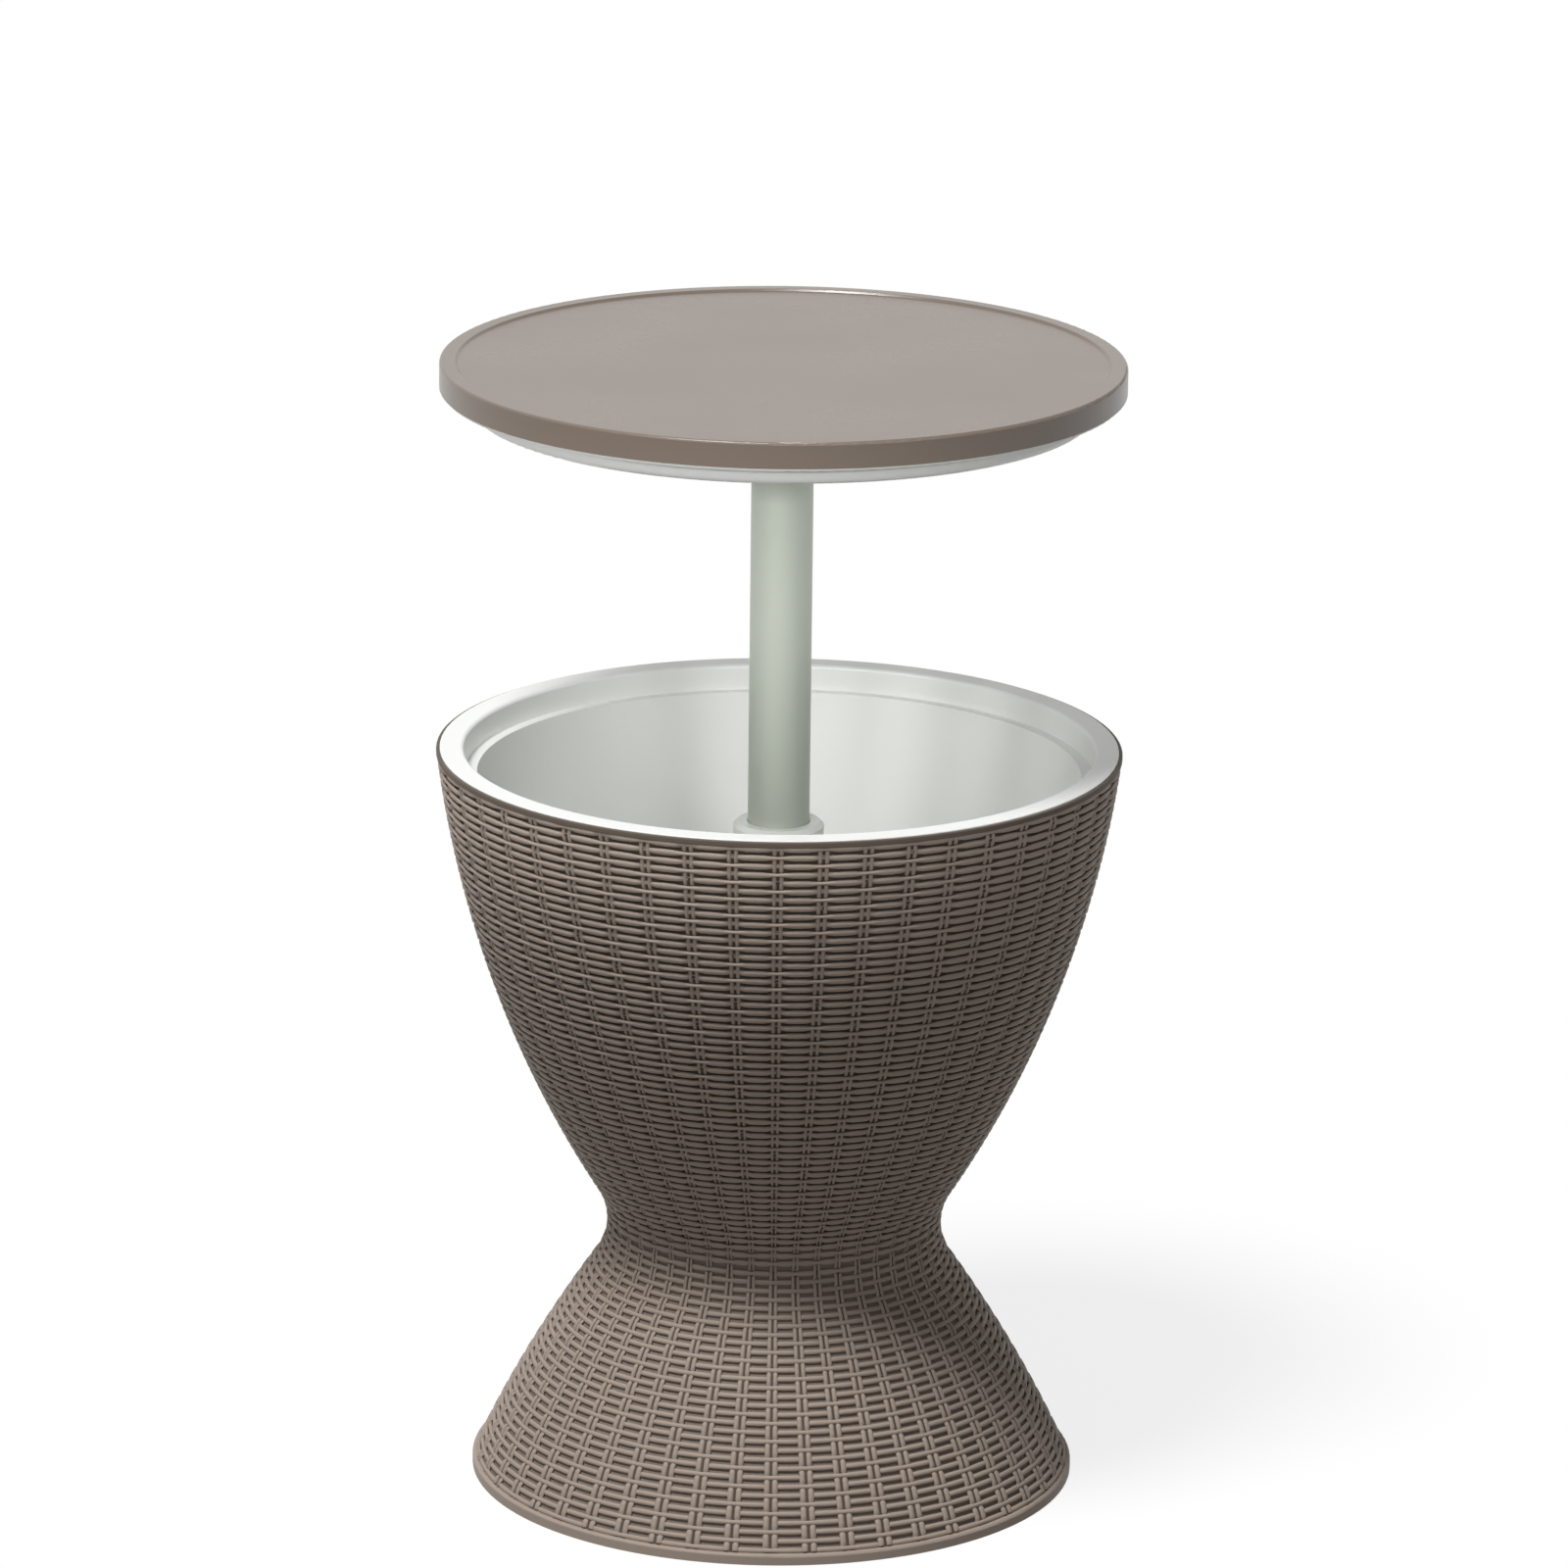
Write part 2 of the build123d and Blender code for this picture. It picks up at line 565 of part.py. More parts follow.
def make_guide_bush():
    """Flanged bush in the top of the guide tube, in which the pole runs."""
    bore = POLE_RADIUS + RUNNING
    return turned(
        (bore, COLUMN_TOP - BUSH_LENGTH),
        (GUIDE_BORE - FIT, COLUMN_TOP - BUSH_LENGTH),
        (GUIDE_BORE - FIT, COLUMN_TOP),
        (GUIDE_RADIUS, COLUMN_TOP),
        (GUIDE_RADIUS, BUSH_TOP),
        (bore, BUSH_TOP),
    )


def make_column_cap():
    """Cap over the liner's column: skirt, seat for the wiper and a hole for the pole."""
    outside = COLUMN_RADIUS + RUNNING + CAP_WALL
    skirt_foot = COLUMN_TOP - CAP_SKIRT
    skirt_bore = COLUMN_RADIUS + COLUMN_DRAFT * CAP_SKIRT / (COLUMN_TOP - LINER_FLOOR) + FIT
    seat_bore = GUIDE_RADIUS + FIT
    hole = POLE_RADIUS + 2 * RUNNING
    top = WIPER_TOP + CAP_TOP
    return turned(
        (skirt_bore, skirt_foot),
        (outside, skirt_foot),
        (outside, WIPER_TOP),
        (outside - CAP_TOP, top),
        (hole, top),
        (hole, WIPER_TOP),
        (seat_bore, WIPER_TOP),
        (seat_bore, COLUMN_TOP),
        (skirt_bore, COLUMN_TOP),
    )


def make_lock_collar():
    """Slotted sleeve with a tapered bore, spread by the cone to grip the guide tube."""
    bore = STUD_RADIUS + RUNNING
    head_foot = CONE_TOP + RUNNING
    body = turned(
        (CONE_FOOT_RADIUS + RUNNING, CONE_FOOT),
        (COLLAR_RADIUS, CONE_FOOT),
        (COLLAR_RADIUS, COLLAR_TOP),
        (bore, COLLAR_TOP),
        (bore, head_foot),
        (CONE_HEAD_RADIUS + RUNNING, head_foot),
    )
    depth = COLLAR_RADIUS - CONE_HEAD_RADIUS
    middle = (CONE_FOOT - OVERSHOOT + CONE_TOP) / 2
    slot = Pos(COLLAR_RADIUS, 0, middle) * Box(2 * depth, COLLAR_SLOT, CONE_HEIGHT + OVERSHOOT)
    return body - around(slot, COLLAR_SLOT_COUNT)


def make_expander_cone():
    """Cone on the lock stud that is drawn up into the collar."""
    return turned(
        (STUD_BORE, CONE_FOOT),
        (CONE_FOOT_RADIUS, CONE_FOOT),
        (CONE_HEAD_RADIUS, CONE_TOP),
        (STUD_BORE, CONE_TOP),
    )


def make_pole():
    """Aluminium tube, drilled for the plug pins and for the bolt through the socket."""
    body = tube(POLE_RADIUS, POLE_BORE, POLE_FOOT, POLE_TOP)
    pin_holes = through_rod(PLUG_PIN_SIZE / 2 + FIT, PLUG_PIN_HEIGHT, POLE_RADIUS + OVERSHOOT)
    bolt_holes = through_rod(POLE_BOLT_SIZE / 2 + FIT, BOLT_HEIGHT, POLE_RADIUS + OVERSHOOT)
    return body - pin_holes - bolt_holes


def make_pole_end_plug():
    """Plug in the foot of the pole that holds the lock stud."""
    body = turned(
        (STUD_BORE, PLUG_FOOT),
        (POLE_RADIUS, PLUG_FOOT),
        (POLE_RADIUS, POLE_FOOT),
        (POLE_BORE - FIT, POLE_FOOT),
        (POLE_BORE - FIT, PLUG_TOP),
        (0, PLUG_TOP),
        (0, STUD_TOP + FIT),
        (STUD_BORE, STUD_TOP + FIT),
    )
    pin_hole = level_rod(
        PLUG_PIN_SIZE / 2 + FIT, PLUG_PIN_HEIGHT, PLUG_PIN_END - FIT, POLE_RADIUS + OVERSHOOT
    )
    return body - around(pin_hole, 2)


def make_lid_deck():
    """Tabletop: recessed field, raised rim ring, side band, screw bosses and socket pad."""
    inside = TABLE_RADIUS - TABLE_WALL
    ring_inside = TABLE_RADIUS - TABLE_RING
    profile = outline_face(
        (0, DECK_BOTTOM),
        (0, DECK_TOP),
        (ring_inside - TABLE_RECESS, DECK_TOP),
        (ring_inside, TABLE_HEIGHT),
        (TABLE_RADIUS, TABLE_HEIGHT),
        (TABLE_RADIUS, BAND_FOOT),
        (inside, BAND_FOOT),
        (inside, DECK_BOTTOM),
    )
    profile = rounded(profile, ring_inside, TABLE_HEIGHT, TABLE_RING_EDGE)
    deck = revolve(rounded(profile, TABLE_RADIUS, TABLE_HEIGHT, TABLE_EDGE), Axis.Z)
    deck += rod(SOCKET_FLANGE_RADIUS, PAD_BOTTOM, DECK_BOTTOM)
    deck += at_lid_screws(rod(LID_SCREW_SIZE / 2 + LID_BOSS_WALL, DISH_TOP, DECK_BOTTOM))
    pilot_top = DISH_FLOOR + LID_SCREW_LENGTH + OVERSHOOT
    deck -= at_lid_screws(rod(LID_SCREW_SIZE / 2 + FIT, DISH_TOP - OVERSHOOT, pilot_top))
    socket_pilot = rod(SOCKET_SCREW_SIZE / 2 + FIT, PAD_BOTTOM - OVERSHOOT, DECK_BOTTOM + OVERSHOOT)
    return deck - at_socket_screws(socket_pilot)


def make_lid_underside():
    """White dish under the deck: lip, tapered side, floor and hole for the socket."""
    lip = TABLE_RADIUS - DISH_LIP_INSET
    foot = DISH_RADIUS - DISH_TAPER
    hole = SOCKET_RADIUS + RUNNING
    profile = outline_face(
        (hole, DISH_FLOOR),
        (foot, DISH_FLOOR),
        (DISH_RADIUS, DISH_RIM),
        (lip, DISH_RIM),
        (lip, BAND_FOOT),
        (DISH_RADIUS - DISH_WALL, BAND_FOOT),
        (foot - DISH_WALL, DISH_TOP),
        (hole, DISH_TOP),
    )
    profile = rounded(profile, lip, DISH_RIM, DISH_LIP_EDGE)
    profile = rounded(profile, foot, DISH_FLOOR, DISH_CORNER)
    profile = rounded(profile, foot - DISH_WALL, DISH_TOP, DISH_CORNER - DISH_WALL)
    screw_hole = rod(LID_SCREW_SIZE / 2 + SCREW_CLEARANCE, DISH_FLOOR - OVERSHOOT, DISH_TOP + OVERSHOOT)
    return revolve(profile, Axis.Z) - at_lid_screws(screw_hole)


def make_pole_socket():
    """Hub with a flange under the deck and a tapered sleeve below the dish."""
    body = turned(
        (SOCKET_BORE, SOCKET_FOOT),
        (SOCKET_RADIUS - SOCKET_WALL / 2, SOCKET_FOOT),
        (SOCKET_RADIUS, BOLT_HEIGHT - POLE_BOLT_SIZE),
        (SOCKET_RADIUS, SOCKET_TOP),
        (SOCKET_FLANGE_RADIUS, SOCKET_TOP),
        (SOCKET_FLANGE_RADIUS, PAD_BOTTOM),
        (SOCKET_BORE, PAD_BOTTOM),
    )
    hole = rod(SOCKET_SCREW_SIZE / 2 + SCREW_CLEARANCE, SOCKET_TOP - OVERSHOOT, PAD_BOTTOM + OVERSHOOT)
    bolt_hole = through_rod(POLE_BOLT_SIZE / 2 + FIT, BOLT_HEIGHT, SOCKET_RADIUS + OVERSHOOT)
    return body - at_socket_screws(hole) - bolt_hole


def make_pole_bolt():
    """Bolt along X through socket and pole, its head on the +X side."""
    length = 2 * (SOCKET_RADIUS + POLE_BOLT_SIZE)
    bolt = screw(POLE_BOLT_SIZE, 0, length - POLE_BOLT_SIZE)
    return Pos(SOCKET_RADIUS, 0, BOLT_HEIGHT) * Rot(0, -90, 0) * bolt


def make_pole_bolt_nut():
    """Nut on the -X end of the pole bolt."""
    return Pos(-SOCKET_RADIUS, 0, BOLT_HEIGHT) * Rot(0, -90, 0) * nut(
        POLE_BOLT_SIZE, 0, HEX_HEIGHT * POLE_BOLT_SIZE
    )


def make_drain_fitting():
    """Flanged spout from the liner floor down through the waist plate."""
    spout_foot = PLATE_BOTTOM - DRAIN_DROP
    return DRAIN_PLACE * turned(
        (DRAIN_BORE, spout_foot),
        (DRAIN_SLEEVE, spout_foot),
        (DRAIN_SLEEVE, GASKET_TOP),
        (DRAIN_FLANGE_RADIUS, GASKET_TOP),
        (DRAIN_FLANGE_RADIUS, DRAIN_SEAT),
        (DRAIN_BORE, DRAIN_SEAT),
    )


def make_drain_nut():
    """Six-sided nut on the spout under the liner floor."""
    body = hexagon(2 * DRAIN_FLANGE_RADIUS, DRAIN_NUT_FOOT, LINER_UNDERSIDE)
    return DRAIN_PLACE * (body - rod(DRAIN_SLEEVE + FIT, DRAIN_NUT_FOOT - OVERSHOOT, LINER_FLOOR))


def make_drain_plug():
    """Tapered rubber stopper with a finger tab, seated in the drain fitting."""
    stopper = DRAIN_BORE - RUNNING
    body = turned(
        (0, DRAIN_SEAT - STOPPER_LENGTH),
        (stopper - STOPPER_TAPER, DRAIN_SEAT - STOPPER_LENGTH),
        (stopper, STOPPER_SEAT),
        (STOPPER_HEAD_RADIUS, STOPPER_SEAT),
        (STOPPER_HEAD_RADIUS, STOPPER_TOP),
        (0, STOPPER_TOP),
    )
    half = TAB_WIDTH / 2
    shoulder = STOPPER_TOP + TAB_HEIGHT - half
    sides = Polyline(
        at(half, shoulder), at(half, STOPPER_SEAT), at(-half, STOPPER_SEAT), at(-half, shoulder)
    )
    crown = ThreePointArc(at(-half, shoulder), at(0, STOPPER_TOP + TAB_HEIGHT), at(half, shoulder))
    tab = extrude(make_face(sides.edges() + crown.edges()), TAB_WALL / 2, both=True)
    return DRAIN_PLACE * (body + tab)


BOSS_SCREW_TIP = BOSS_TOP - BOSS_ROOF - FIT
GUIDE_PIN = level_rod(GUIDE_PIN_SIZE / 2, GUIDE_PIN_HEIGHT, GUIDE_BORE + RUNNING, GUIDE_SLEEVE_RADIUS)
PLUG_PIN = level_rod(PLUG_PIN_SIZE / 2, PLUG_PIN_HEIGHT, PLUG_PIN_END, POLE_RADIUS - FIT)

pieces = {
    "base_skirt": make_base_skirt(),
    "bucket_shell": make_bucket_shell(),
    "ice_liner": make_ice_liner(),
    "waist_screws": in_bays(screw(WAIST_SCREW_SIZE, PLATE_BOTTOM, BOSS_SCREW_TIP)),
    "guide_tube": make_guide_tube(),
    "guide_flange": make_guide_flange(),
    "guide_screws": at_guide_screws(screw(GUIDE_SCREW_SIZE, GUIDE_FLANGE_FOOT, BOSS_SCREW_TIP)),
    "guide_pins": around(GUIDE_PIN, 2),
    "guide_bush": make_guide_bush(),
    "column_cap": make_column_cap(),
    "wiper_ring": tube(GUIDE_RADIUS, POLE_RADIUS + RUNNING, BUSH_TOP, WIPER_TOP),
    "drain_fitting": make_drain_fitting(),
    "drain_gasket": DRAIN_PLACE * tube(DRAIN_FLANGE_RADIUS, DRAIN_SLEEVE + FIT, LINER_FLOOR, GASKET_TOP),
    "drain_nut": make_drain_nut(),
    "drain_plug": make_drain_plug(),
    "lock_collar": make_lock_collar(),
    "expander_cone": make_expander_cone(),
    "pole": make_pole(),
    "pole_end_plug": make_pole_end_plug(),
    "plug_pins": around(PLUG_PIN, 2),
    "lock_stud": rod(STUD_RADIUS, LOCK_FOOT, STUD_TOP),
    "stud_nut": nut(STUD_SIZE, LOCK_FOOT, NUT_TOP),
    "lid_deck": make_lid_deck(),
    "lid_underside": make_lid_underside(),
    "lid_screws": at_lid_screws(screw(LID_SCREW_SIZE, DISH_FLOOR, DISH_FLOOR + LID_SCREW_LENGTH)),
    "pole_socket": make_pole_socket(),
    "socket_screws": at_socket_screws(screw(SOCKET_SCREW_SIZE, SOCKET_TOP, DECK_BOTTOM)),
    "pole_bolt": make_pole_bolt(),
    "pole_bolt_nut": make_pole_bolt_nut(),
}

os.makedirs("parts", exist_ok=True)
for name, piece in pieces.items():
    solid = Compound(children=piece) if isinstance(piece, list) else piece
    export_step(solid, f"parts/{name}.step")
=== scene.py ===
"""Looks of the bar table with ice bucket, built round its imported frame. Metres, +Z up."""

import json
import math
from typing import NamedTuple

import bpy
import numpy as np
from bpy.props import FloatProperty, FloatVectorProperty, IntProperty, PointerProperty
from mathutils import Color, Matrix, Vector


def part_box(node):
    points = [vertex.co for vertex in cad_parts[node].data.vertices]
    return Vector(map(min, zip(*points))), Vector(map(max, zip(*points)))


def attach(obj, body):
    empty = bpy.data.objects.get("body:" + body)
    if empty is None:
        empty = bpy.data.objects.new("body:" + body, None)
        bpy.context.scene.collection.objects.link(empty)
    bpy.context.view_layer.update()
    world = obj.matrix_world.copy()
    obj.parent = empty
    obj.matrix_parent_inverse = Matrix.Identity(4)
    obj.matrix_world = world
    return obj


bl_info = {
    "name": "Bar table with ice bucket",
    "version": (1, 0, 0),
    "blender": (4, 5, 0),
    "location": "3D View > Sidebar > Bar table",
    "description": "Wicker relief, finishes and studio of a bar table with an ice bucket",
    "category": "Object",
}

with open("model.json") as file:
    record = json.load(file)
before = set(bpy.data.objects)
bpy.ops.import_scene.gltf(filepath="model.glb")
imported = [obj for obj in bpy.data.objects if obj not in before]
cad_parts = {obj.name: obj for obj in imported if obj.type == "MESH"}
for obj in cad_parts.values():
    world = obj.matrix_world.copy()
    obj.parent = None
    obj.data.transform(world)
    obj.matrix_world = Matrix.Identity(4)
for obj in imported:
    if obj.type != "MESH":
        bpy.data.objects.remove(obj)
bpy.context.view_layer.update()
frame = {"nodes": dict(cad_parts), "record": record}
SHELL_LOW, SHELL_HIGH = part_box("bucket_shell")
SKIRT_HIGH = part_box("base_skirt")[1]
LINER_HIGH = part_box("ice_liner")[1]
SLOT_NODES = {}
for subpart in frame["record"]["subparts"]:
    SLOT_NODES.setdefault(subpart["material_slot"], []).append(subpart["node"])


def length(name, description, default):
    """Length property in metres."""
    return FloatProperty(
        name=name, description=description, default=default, unit="LENGTH", precision=4
    )


def angle(name, description, default):
    """Angle property in radians."""
    return FloatProperty(name=name, description=description, default=default, subtype="ANGLE")


def place(name, description, default):
    """Property for a point, in metres."""
    return FloatVectorProperty(
        name=name, description=description, default=default, subtype="TRANSLATION"
    )


def share(name, description, default):
    """Property for a share between nought and one."""
    return FloatProperty(
        name=name, description=description, default=default, min=0, max=1, subtype="FACTOR"
    )


def amount(name, description, default, unit="NONE"):
    """Property for a strength or another plain number."""
    return FloatProperty(name=name, description=description, default=default, unit=unit)


def count(name, description, default):
    """Property for a number of pieces."""
    return IntProperty(name=name, description=description, default=default, min=1)


def colour(name, description, screen):
    """Colour property, its default given as it looks on screen, 0 to 255."""
    light = Color([channel / 255 for channel in screen]).from_srgb_to_scene_linear()
    return light_colour(name, description, tuple(light))


def light_colour(name, description, default):
    """Colour property, its default given as light values, 0 to 1."""
    return FloatVectorProperty(
        name=name, description=description, default=default, size=3, min=0, max=1, subtype="COLOR"
    )


class OutlineSettings(bpy.types.PropertyGroup):
    """Arcs of the wall under the wicker relief."""

    rim_height: length("Rim height", "Top of the bucket's rim", LINER_HIGH.z)
    rim_radius: length("Rim radius", "Outside of the bucket's rim", SHELL_HIGH.x)
    waist_height: length("Waist height", "Seam between bucket and foot", SHELL_LOW.z)
    waist_radius: length("Waist radius", "Outside of the wall at the seam", 0.121)
    waist_blend: length("Waist blend", "Radius of the hollow arc at the waist", 0.0566)
    bowl_arc: length("Bowl arc", "Radius of the arc from rim to waist", 0.8)
    skirt_arc: length("Skirt arc", "Radius of the arc from waist to hem", 0.95)
    foot_radius: length("Foot radius", "Outside of the hem", SKIRT_HIGH.x)
    hem_height: length("Hem height", "Top of the plain hem", 0.008)
    hem_step: length("Hem step", "How far the hem stands out from the wicker", 0.0029)
    relief: length("Relief", "Height of the wicker above the wall", 0.0022)
    band: length("Rim band", "Height of the plain band under the rim", 0.0055)
    seam_rise: length("Seam rise", "How far the foot's tint goes up past the waist", 0.014)


class WickerSettings(bpy.types.PropertyGroup):
    """Strands of the moulded wicker. Values for the bucket and the foot blend at the waist."""

    stake_count: count("Stakes", "Pairs of upright strands", 48)
    bucket_rows: count("Bucket rows", "Level strands on the bucket", 58)
    bucket_first: length("First bucket row", "Distance of the top row below the rim", 0.00638)
    bucket_pitch: length("Bucket row pitch", "Distance between rows on the bucket", 0.00656)
    foot_rows: count("Foot rows", "Level strands on the foot", 32)
    foot_first: length("First foot row", "Distance of the foot's top row below the rim", 0.3883)
    foot_pitch: length("Foot row pitch", "Distance between rows on the foot", 0.00656)
    change_start: length("Change start", "Distance below the rim where the blend starts", 0.372)
    change_end: length("Change end", "Distance below the rim where the blend ends", 0.400)
    bucket_row_width: length("Bucket row width", "Width of a level strand", 0.0055)
    foot_row_width: length("Foot row width", "Width of a level strand", 0.0043)
    bucket_pinch: length("Bucket pinch", "How much narrower a row is over a stake", 0.0031)
    foot_pinch: length("Foot pinch", "How much narrower a row is over a stake", 0.0007)
    bucket_tuck: length("Bucket tuck", "How much narrower a row is under a stake", 0.0015)
    foot_tuck: length("Foot tuck", "How much narrower a row is under a stake", 0.0004)
    bucket_row_top: length("Bucket row top", "Height of a row between stakes", 0.0025)
    foot_row_top: length("Foot row top", "Height of a row between stakes", 0.0023)
    row_dive: length("Row dive", "Height of a row under a stake", 0.00095)
    bucket_stake_top: length("Bucket stake top", "Height of a stake over a row", 0.0014)
    foot_stake_top: length("Foot stake top", "Height of a stake over a row", 0.0026)
    bucket_stake_dive: length("Bucket stake dive", "Height of a stake under a row", 0.0002)
    foot_stake_dive: length("Foot stake dive", "Height of a stake under a row", 0.0015)
    bucket_stake_share: share("Bucket stake width", "Width of a pair over the radius", 0.034)
    foot_stake_share: share("Foot stake width", "Width of a pair over the radius", 0.053)
    bucket_stake_gap: share("Bucket stake gap", "Gap in a pair over its width", 0.2)
    foot_stake_gap: share("Foot stake gap", "Gap in a pair over its width", 0.12)
    rib_reach: angle("Rib reach", "Half the width of the wall's rib under a pair", 0.0145)
    depth: length("Strand depth", "Half the thickness of a strand", 0.0016)


class FinishSettings(bpy.types.PropertyGroup):
    """Colours of the finishes; the grooves, the stake gap and the rim band are darkened as painted
    shade.
    """

    wicker: colour("Wicker", "Strands of the wicker", (172, 157, 145))
    # Painted shade: the bucket's wall between strands is far darker than the strands, for the
    # shade in the grooves of the downward-facing bowl
    bucket_groove_shade: colour("Bucket groove", "Wall between the bucket's strands", (82, 73, 64))
    # Painted shade: the foot's wall between strands is a little darker than the strands, for the
    # shade in the grooves
    foot_groove_shade: colour("Foot groove", "Wall between the foot's strands", (140, 127, 117))
    # Painted shadow: the narrow gap between the two stakes of a pair is coloured as its shadow
    stake_gap: colour("Stake gap", "Narrow gap between the two stakes of a pair", (92, 82, 74))
    # Painted shade: the rim band, and with it the inside of the bucket shell, is darker than the
    # taupe plastic for the shadow under the liner's flange
    rim_band_shade: colour("Rim band", "Plain band and inside of the bucket shell", (98, 88, 79))
    table: colour("Tabletop", "Deck of the tabletop", (121, 106, 93))
    white: colour("White plastic", "Liner, dish and cap", (243, 244, 241))
    pole: colour("Pole", "Satin aluminium of the pole", (188, 195, 183))
    nylon: colour("Nylon", "Dark nylon of the lock and bushes", (52, 52, 54))
    grey: colour("Grey plastic", "Hub and flange", (128, 129, 130))
    steel: colour("Steel", "Screws, pins and nuts", (196, 197, 200))
    rubber: colour("Rubber", "Stopper, gasket and wiper", (40, 40, 41))


class StageSettings(bpy.types.PropertyGroup):
    """Camera, lamps and floor. Lamps stand at angles to the left of the camera."""

    camera_place: place("Camera", "Place of the camera", (0, -6.3683, 2.3293))
    camera_pitch: angle("Pitch", "How far the camera looks down", 0.2804)
    camera_roll: angle("Roll", "Tilt of the camera about its view", 0.0115)
    lens: amount("Lens", "Focal length in millimetres", 208.78, unit="CAMERA")
    shift_x: amount("Shift X", "Sideways shift of the picture", 0.00345)
    shift_y: amount("Shift Y", "Upward shift of the picture", 0.02275)
    key_height: angle("Key height", "Angle of the key light above the floor", 1.187)
    key_side: angle("Key side", "Angle of the key light to the left", 0.6632)
    key_softness: angle("Key softness", "Width of the key light seen from the floor", 0.25)
    key_strength: amount("Key strength", "Strength of the key light", 2.56)
    fill_height: angle("Fill height", "Angle of the fill light above the floor", 0.17)
    fill_side: angle("Fill side", "Angle of the fill light to the left", 0.5)
    fill_softness: angle("Fill softness", "Width of the fill light seen from the floor", 0.7)
    fill_strength: amount("Fill strength", "Strength of the fill light", 0.28)
    gap_lamps: count("Gap lamps", "Lamps for the gap under the tabletop", 5)
    gap_first: angle("First gap lamp", "Angle of the first gap lamp to the left", -0.35)
    gap_last: angle("Last gap lamp", "Angle of the last gap lamp to the left", 0.95)
    gap_reach: length("Gap lamp reach", "Distance of the gap lamps from the pole", 1.3)
    gap_level: length("Gap lamp level", "Height of the gap lamps", 1.1)
    gap_aim: place("Gap aim", "Point the gap lamps shine at", (0, 0.1, 0.57))
    gap_width: length("Gap lamp width", "Width of a gap lamp", 0.3)
    gap_height: length("Gap lamp height", "Height of a gap lamp", 0.1)
    gap_spread: angle("Gap spread", "How far a gap lamp spreads", 0.38)
    gap_power: amount("Gap power", "Power of a gap lamp in watts", 0.057, unit="POWER")
    sky: share("Sky", "Brightness of the light from all round", 0.12)
    floor_size: length("Floor size", "Half the width of the floor", 40.0)
    floor_paper: light_colour("Floor paper", "Paper that takes the shadow", (0.95, 0.95, 0.95))
    floor_glow: amount("Floor glow", "Strength of the floor's own white", 1.04)
    floor_glow_share: share("Floor glow share", "Share of that white in what is seen", 0.8)
    floor_bounce: light_colour("Floor bounce", "Floor as it lights the table", (0.18, 0.18, 0.176))


class Wall:
    """Wall under the wicker, by distance along it below the rim."""

    SAMPLES = 6000

    def __init__(self, outline):
        rim = np.array([outline.rim_radius - outline.relief, outline.rim_height])
        hem_radius = outline.foot_radius - outline.hem_step - outline.relief
        hem = np.array([hem_radius, outline.hem_height])
        blend = outline.waist_blend
        waist = np.array([outline.waist_radius + blend, outline.waist_height])
        bowl = inner_centre(rim, outline.bowl_arc, waist, outline.bowl_arc + blend)
        skirt = inner_centre(hem, outline.skirt_arc, waist, outline.skirt_arc + blend)
        bowl_foot = waist[1] + (bowl - waist)[1] * blend / math.dist(bowl, waist)
        skirt_head = waist[1] + (skirt - waist)[1] * blend / math.dist(skirt, waist)
        height = np.linspace(rim[1], hem[1], self.SAMPLES)
        below_bowl = np.where(
            height < skirt_head,
            arc_radius(skirt, outline.skirt_arc, height, 1),
            arc_radius(waist, blend, height, -1),
        )
        on_bowl = arc_radius(bowl, outline.bowl_arc, height, 1)
        radius = np.where(height > bowl_foot, on_bowl, below_bowl)
        step = np.hypot(np.diff(radius), np.diff(height))
        self.distance = np.concatenate([[0], np.cumsum(step)])
        self.points = np.stack([radius, height], -1)
        self.down = np.gradient(self.points, self.distance, axis=0)

    def at(self, distance):
        """Radius, height and the two parts of the downward direction below the rim."""
        columns = (*self.points.T, *self.down.T)
        return [np.interp(distance, self.distance, column) for column in columns]


def inner_centre(first, first_radius, second, second_radius):
    """Of the two points at given distances from two others, the one nearer the axis."""
    between = second - first
    gap = np.hypot(*between)
    along = (first_radius**2 - second_radius**2 + gap**2) / (2 * gap)
    aside = math.sqrt(first_radius**2 - along**2)
    foot = first + between * along / gap
    offset = np.array([between[1], -between[0]]) * aside / gap
    return min(foot + offset, foot - offset, key=lambda point: point[0])


def arc_radius(centre, size, height, side):
    """Distance from the axis of an arc about a centre, at heights within its reach."""
    return centre[0] + side * np.sqrt(np.maximum(size**2 - (height - centre[1]) ** 2, 0))


def ease(low, high, value):
    """Smooth step from nought at low to one at high."""
    t = np.clip((value - low) / (high - low), 0, 1)
    return t * t * (3 - 2 * t)


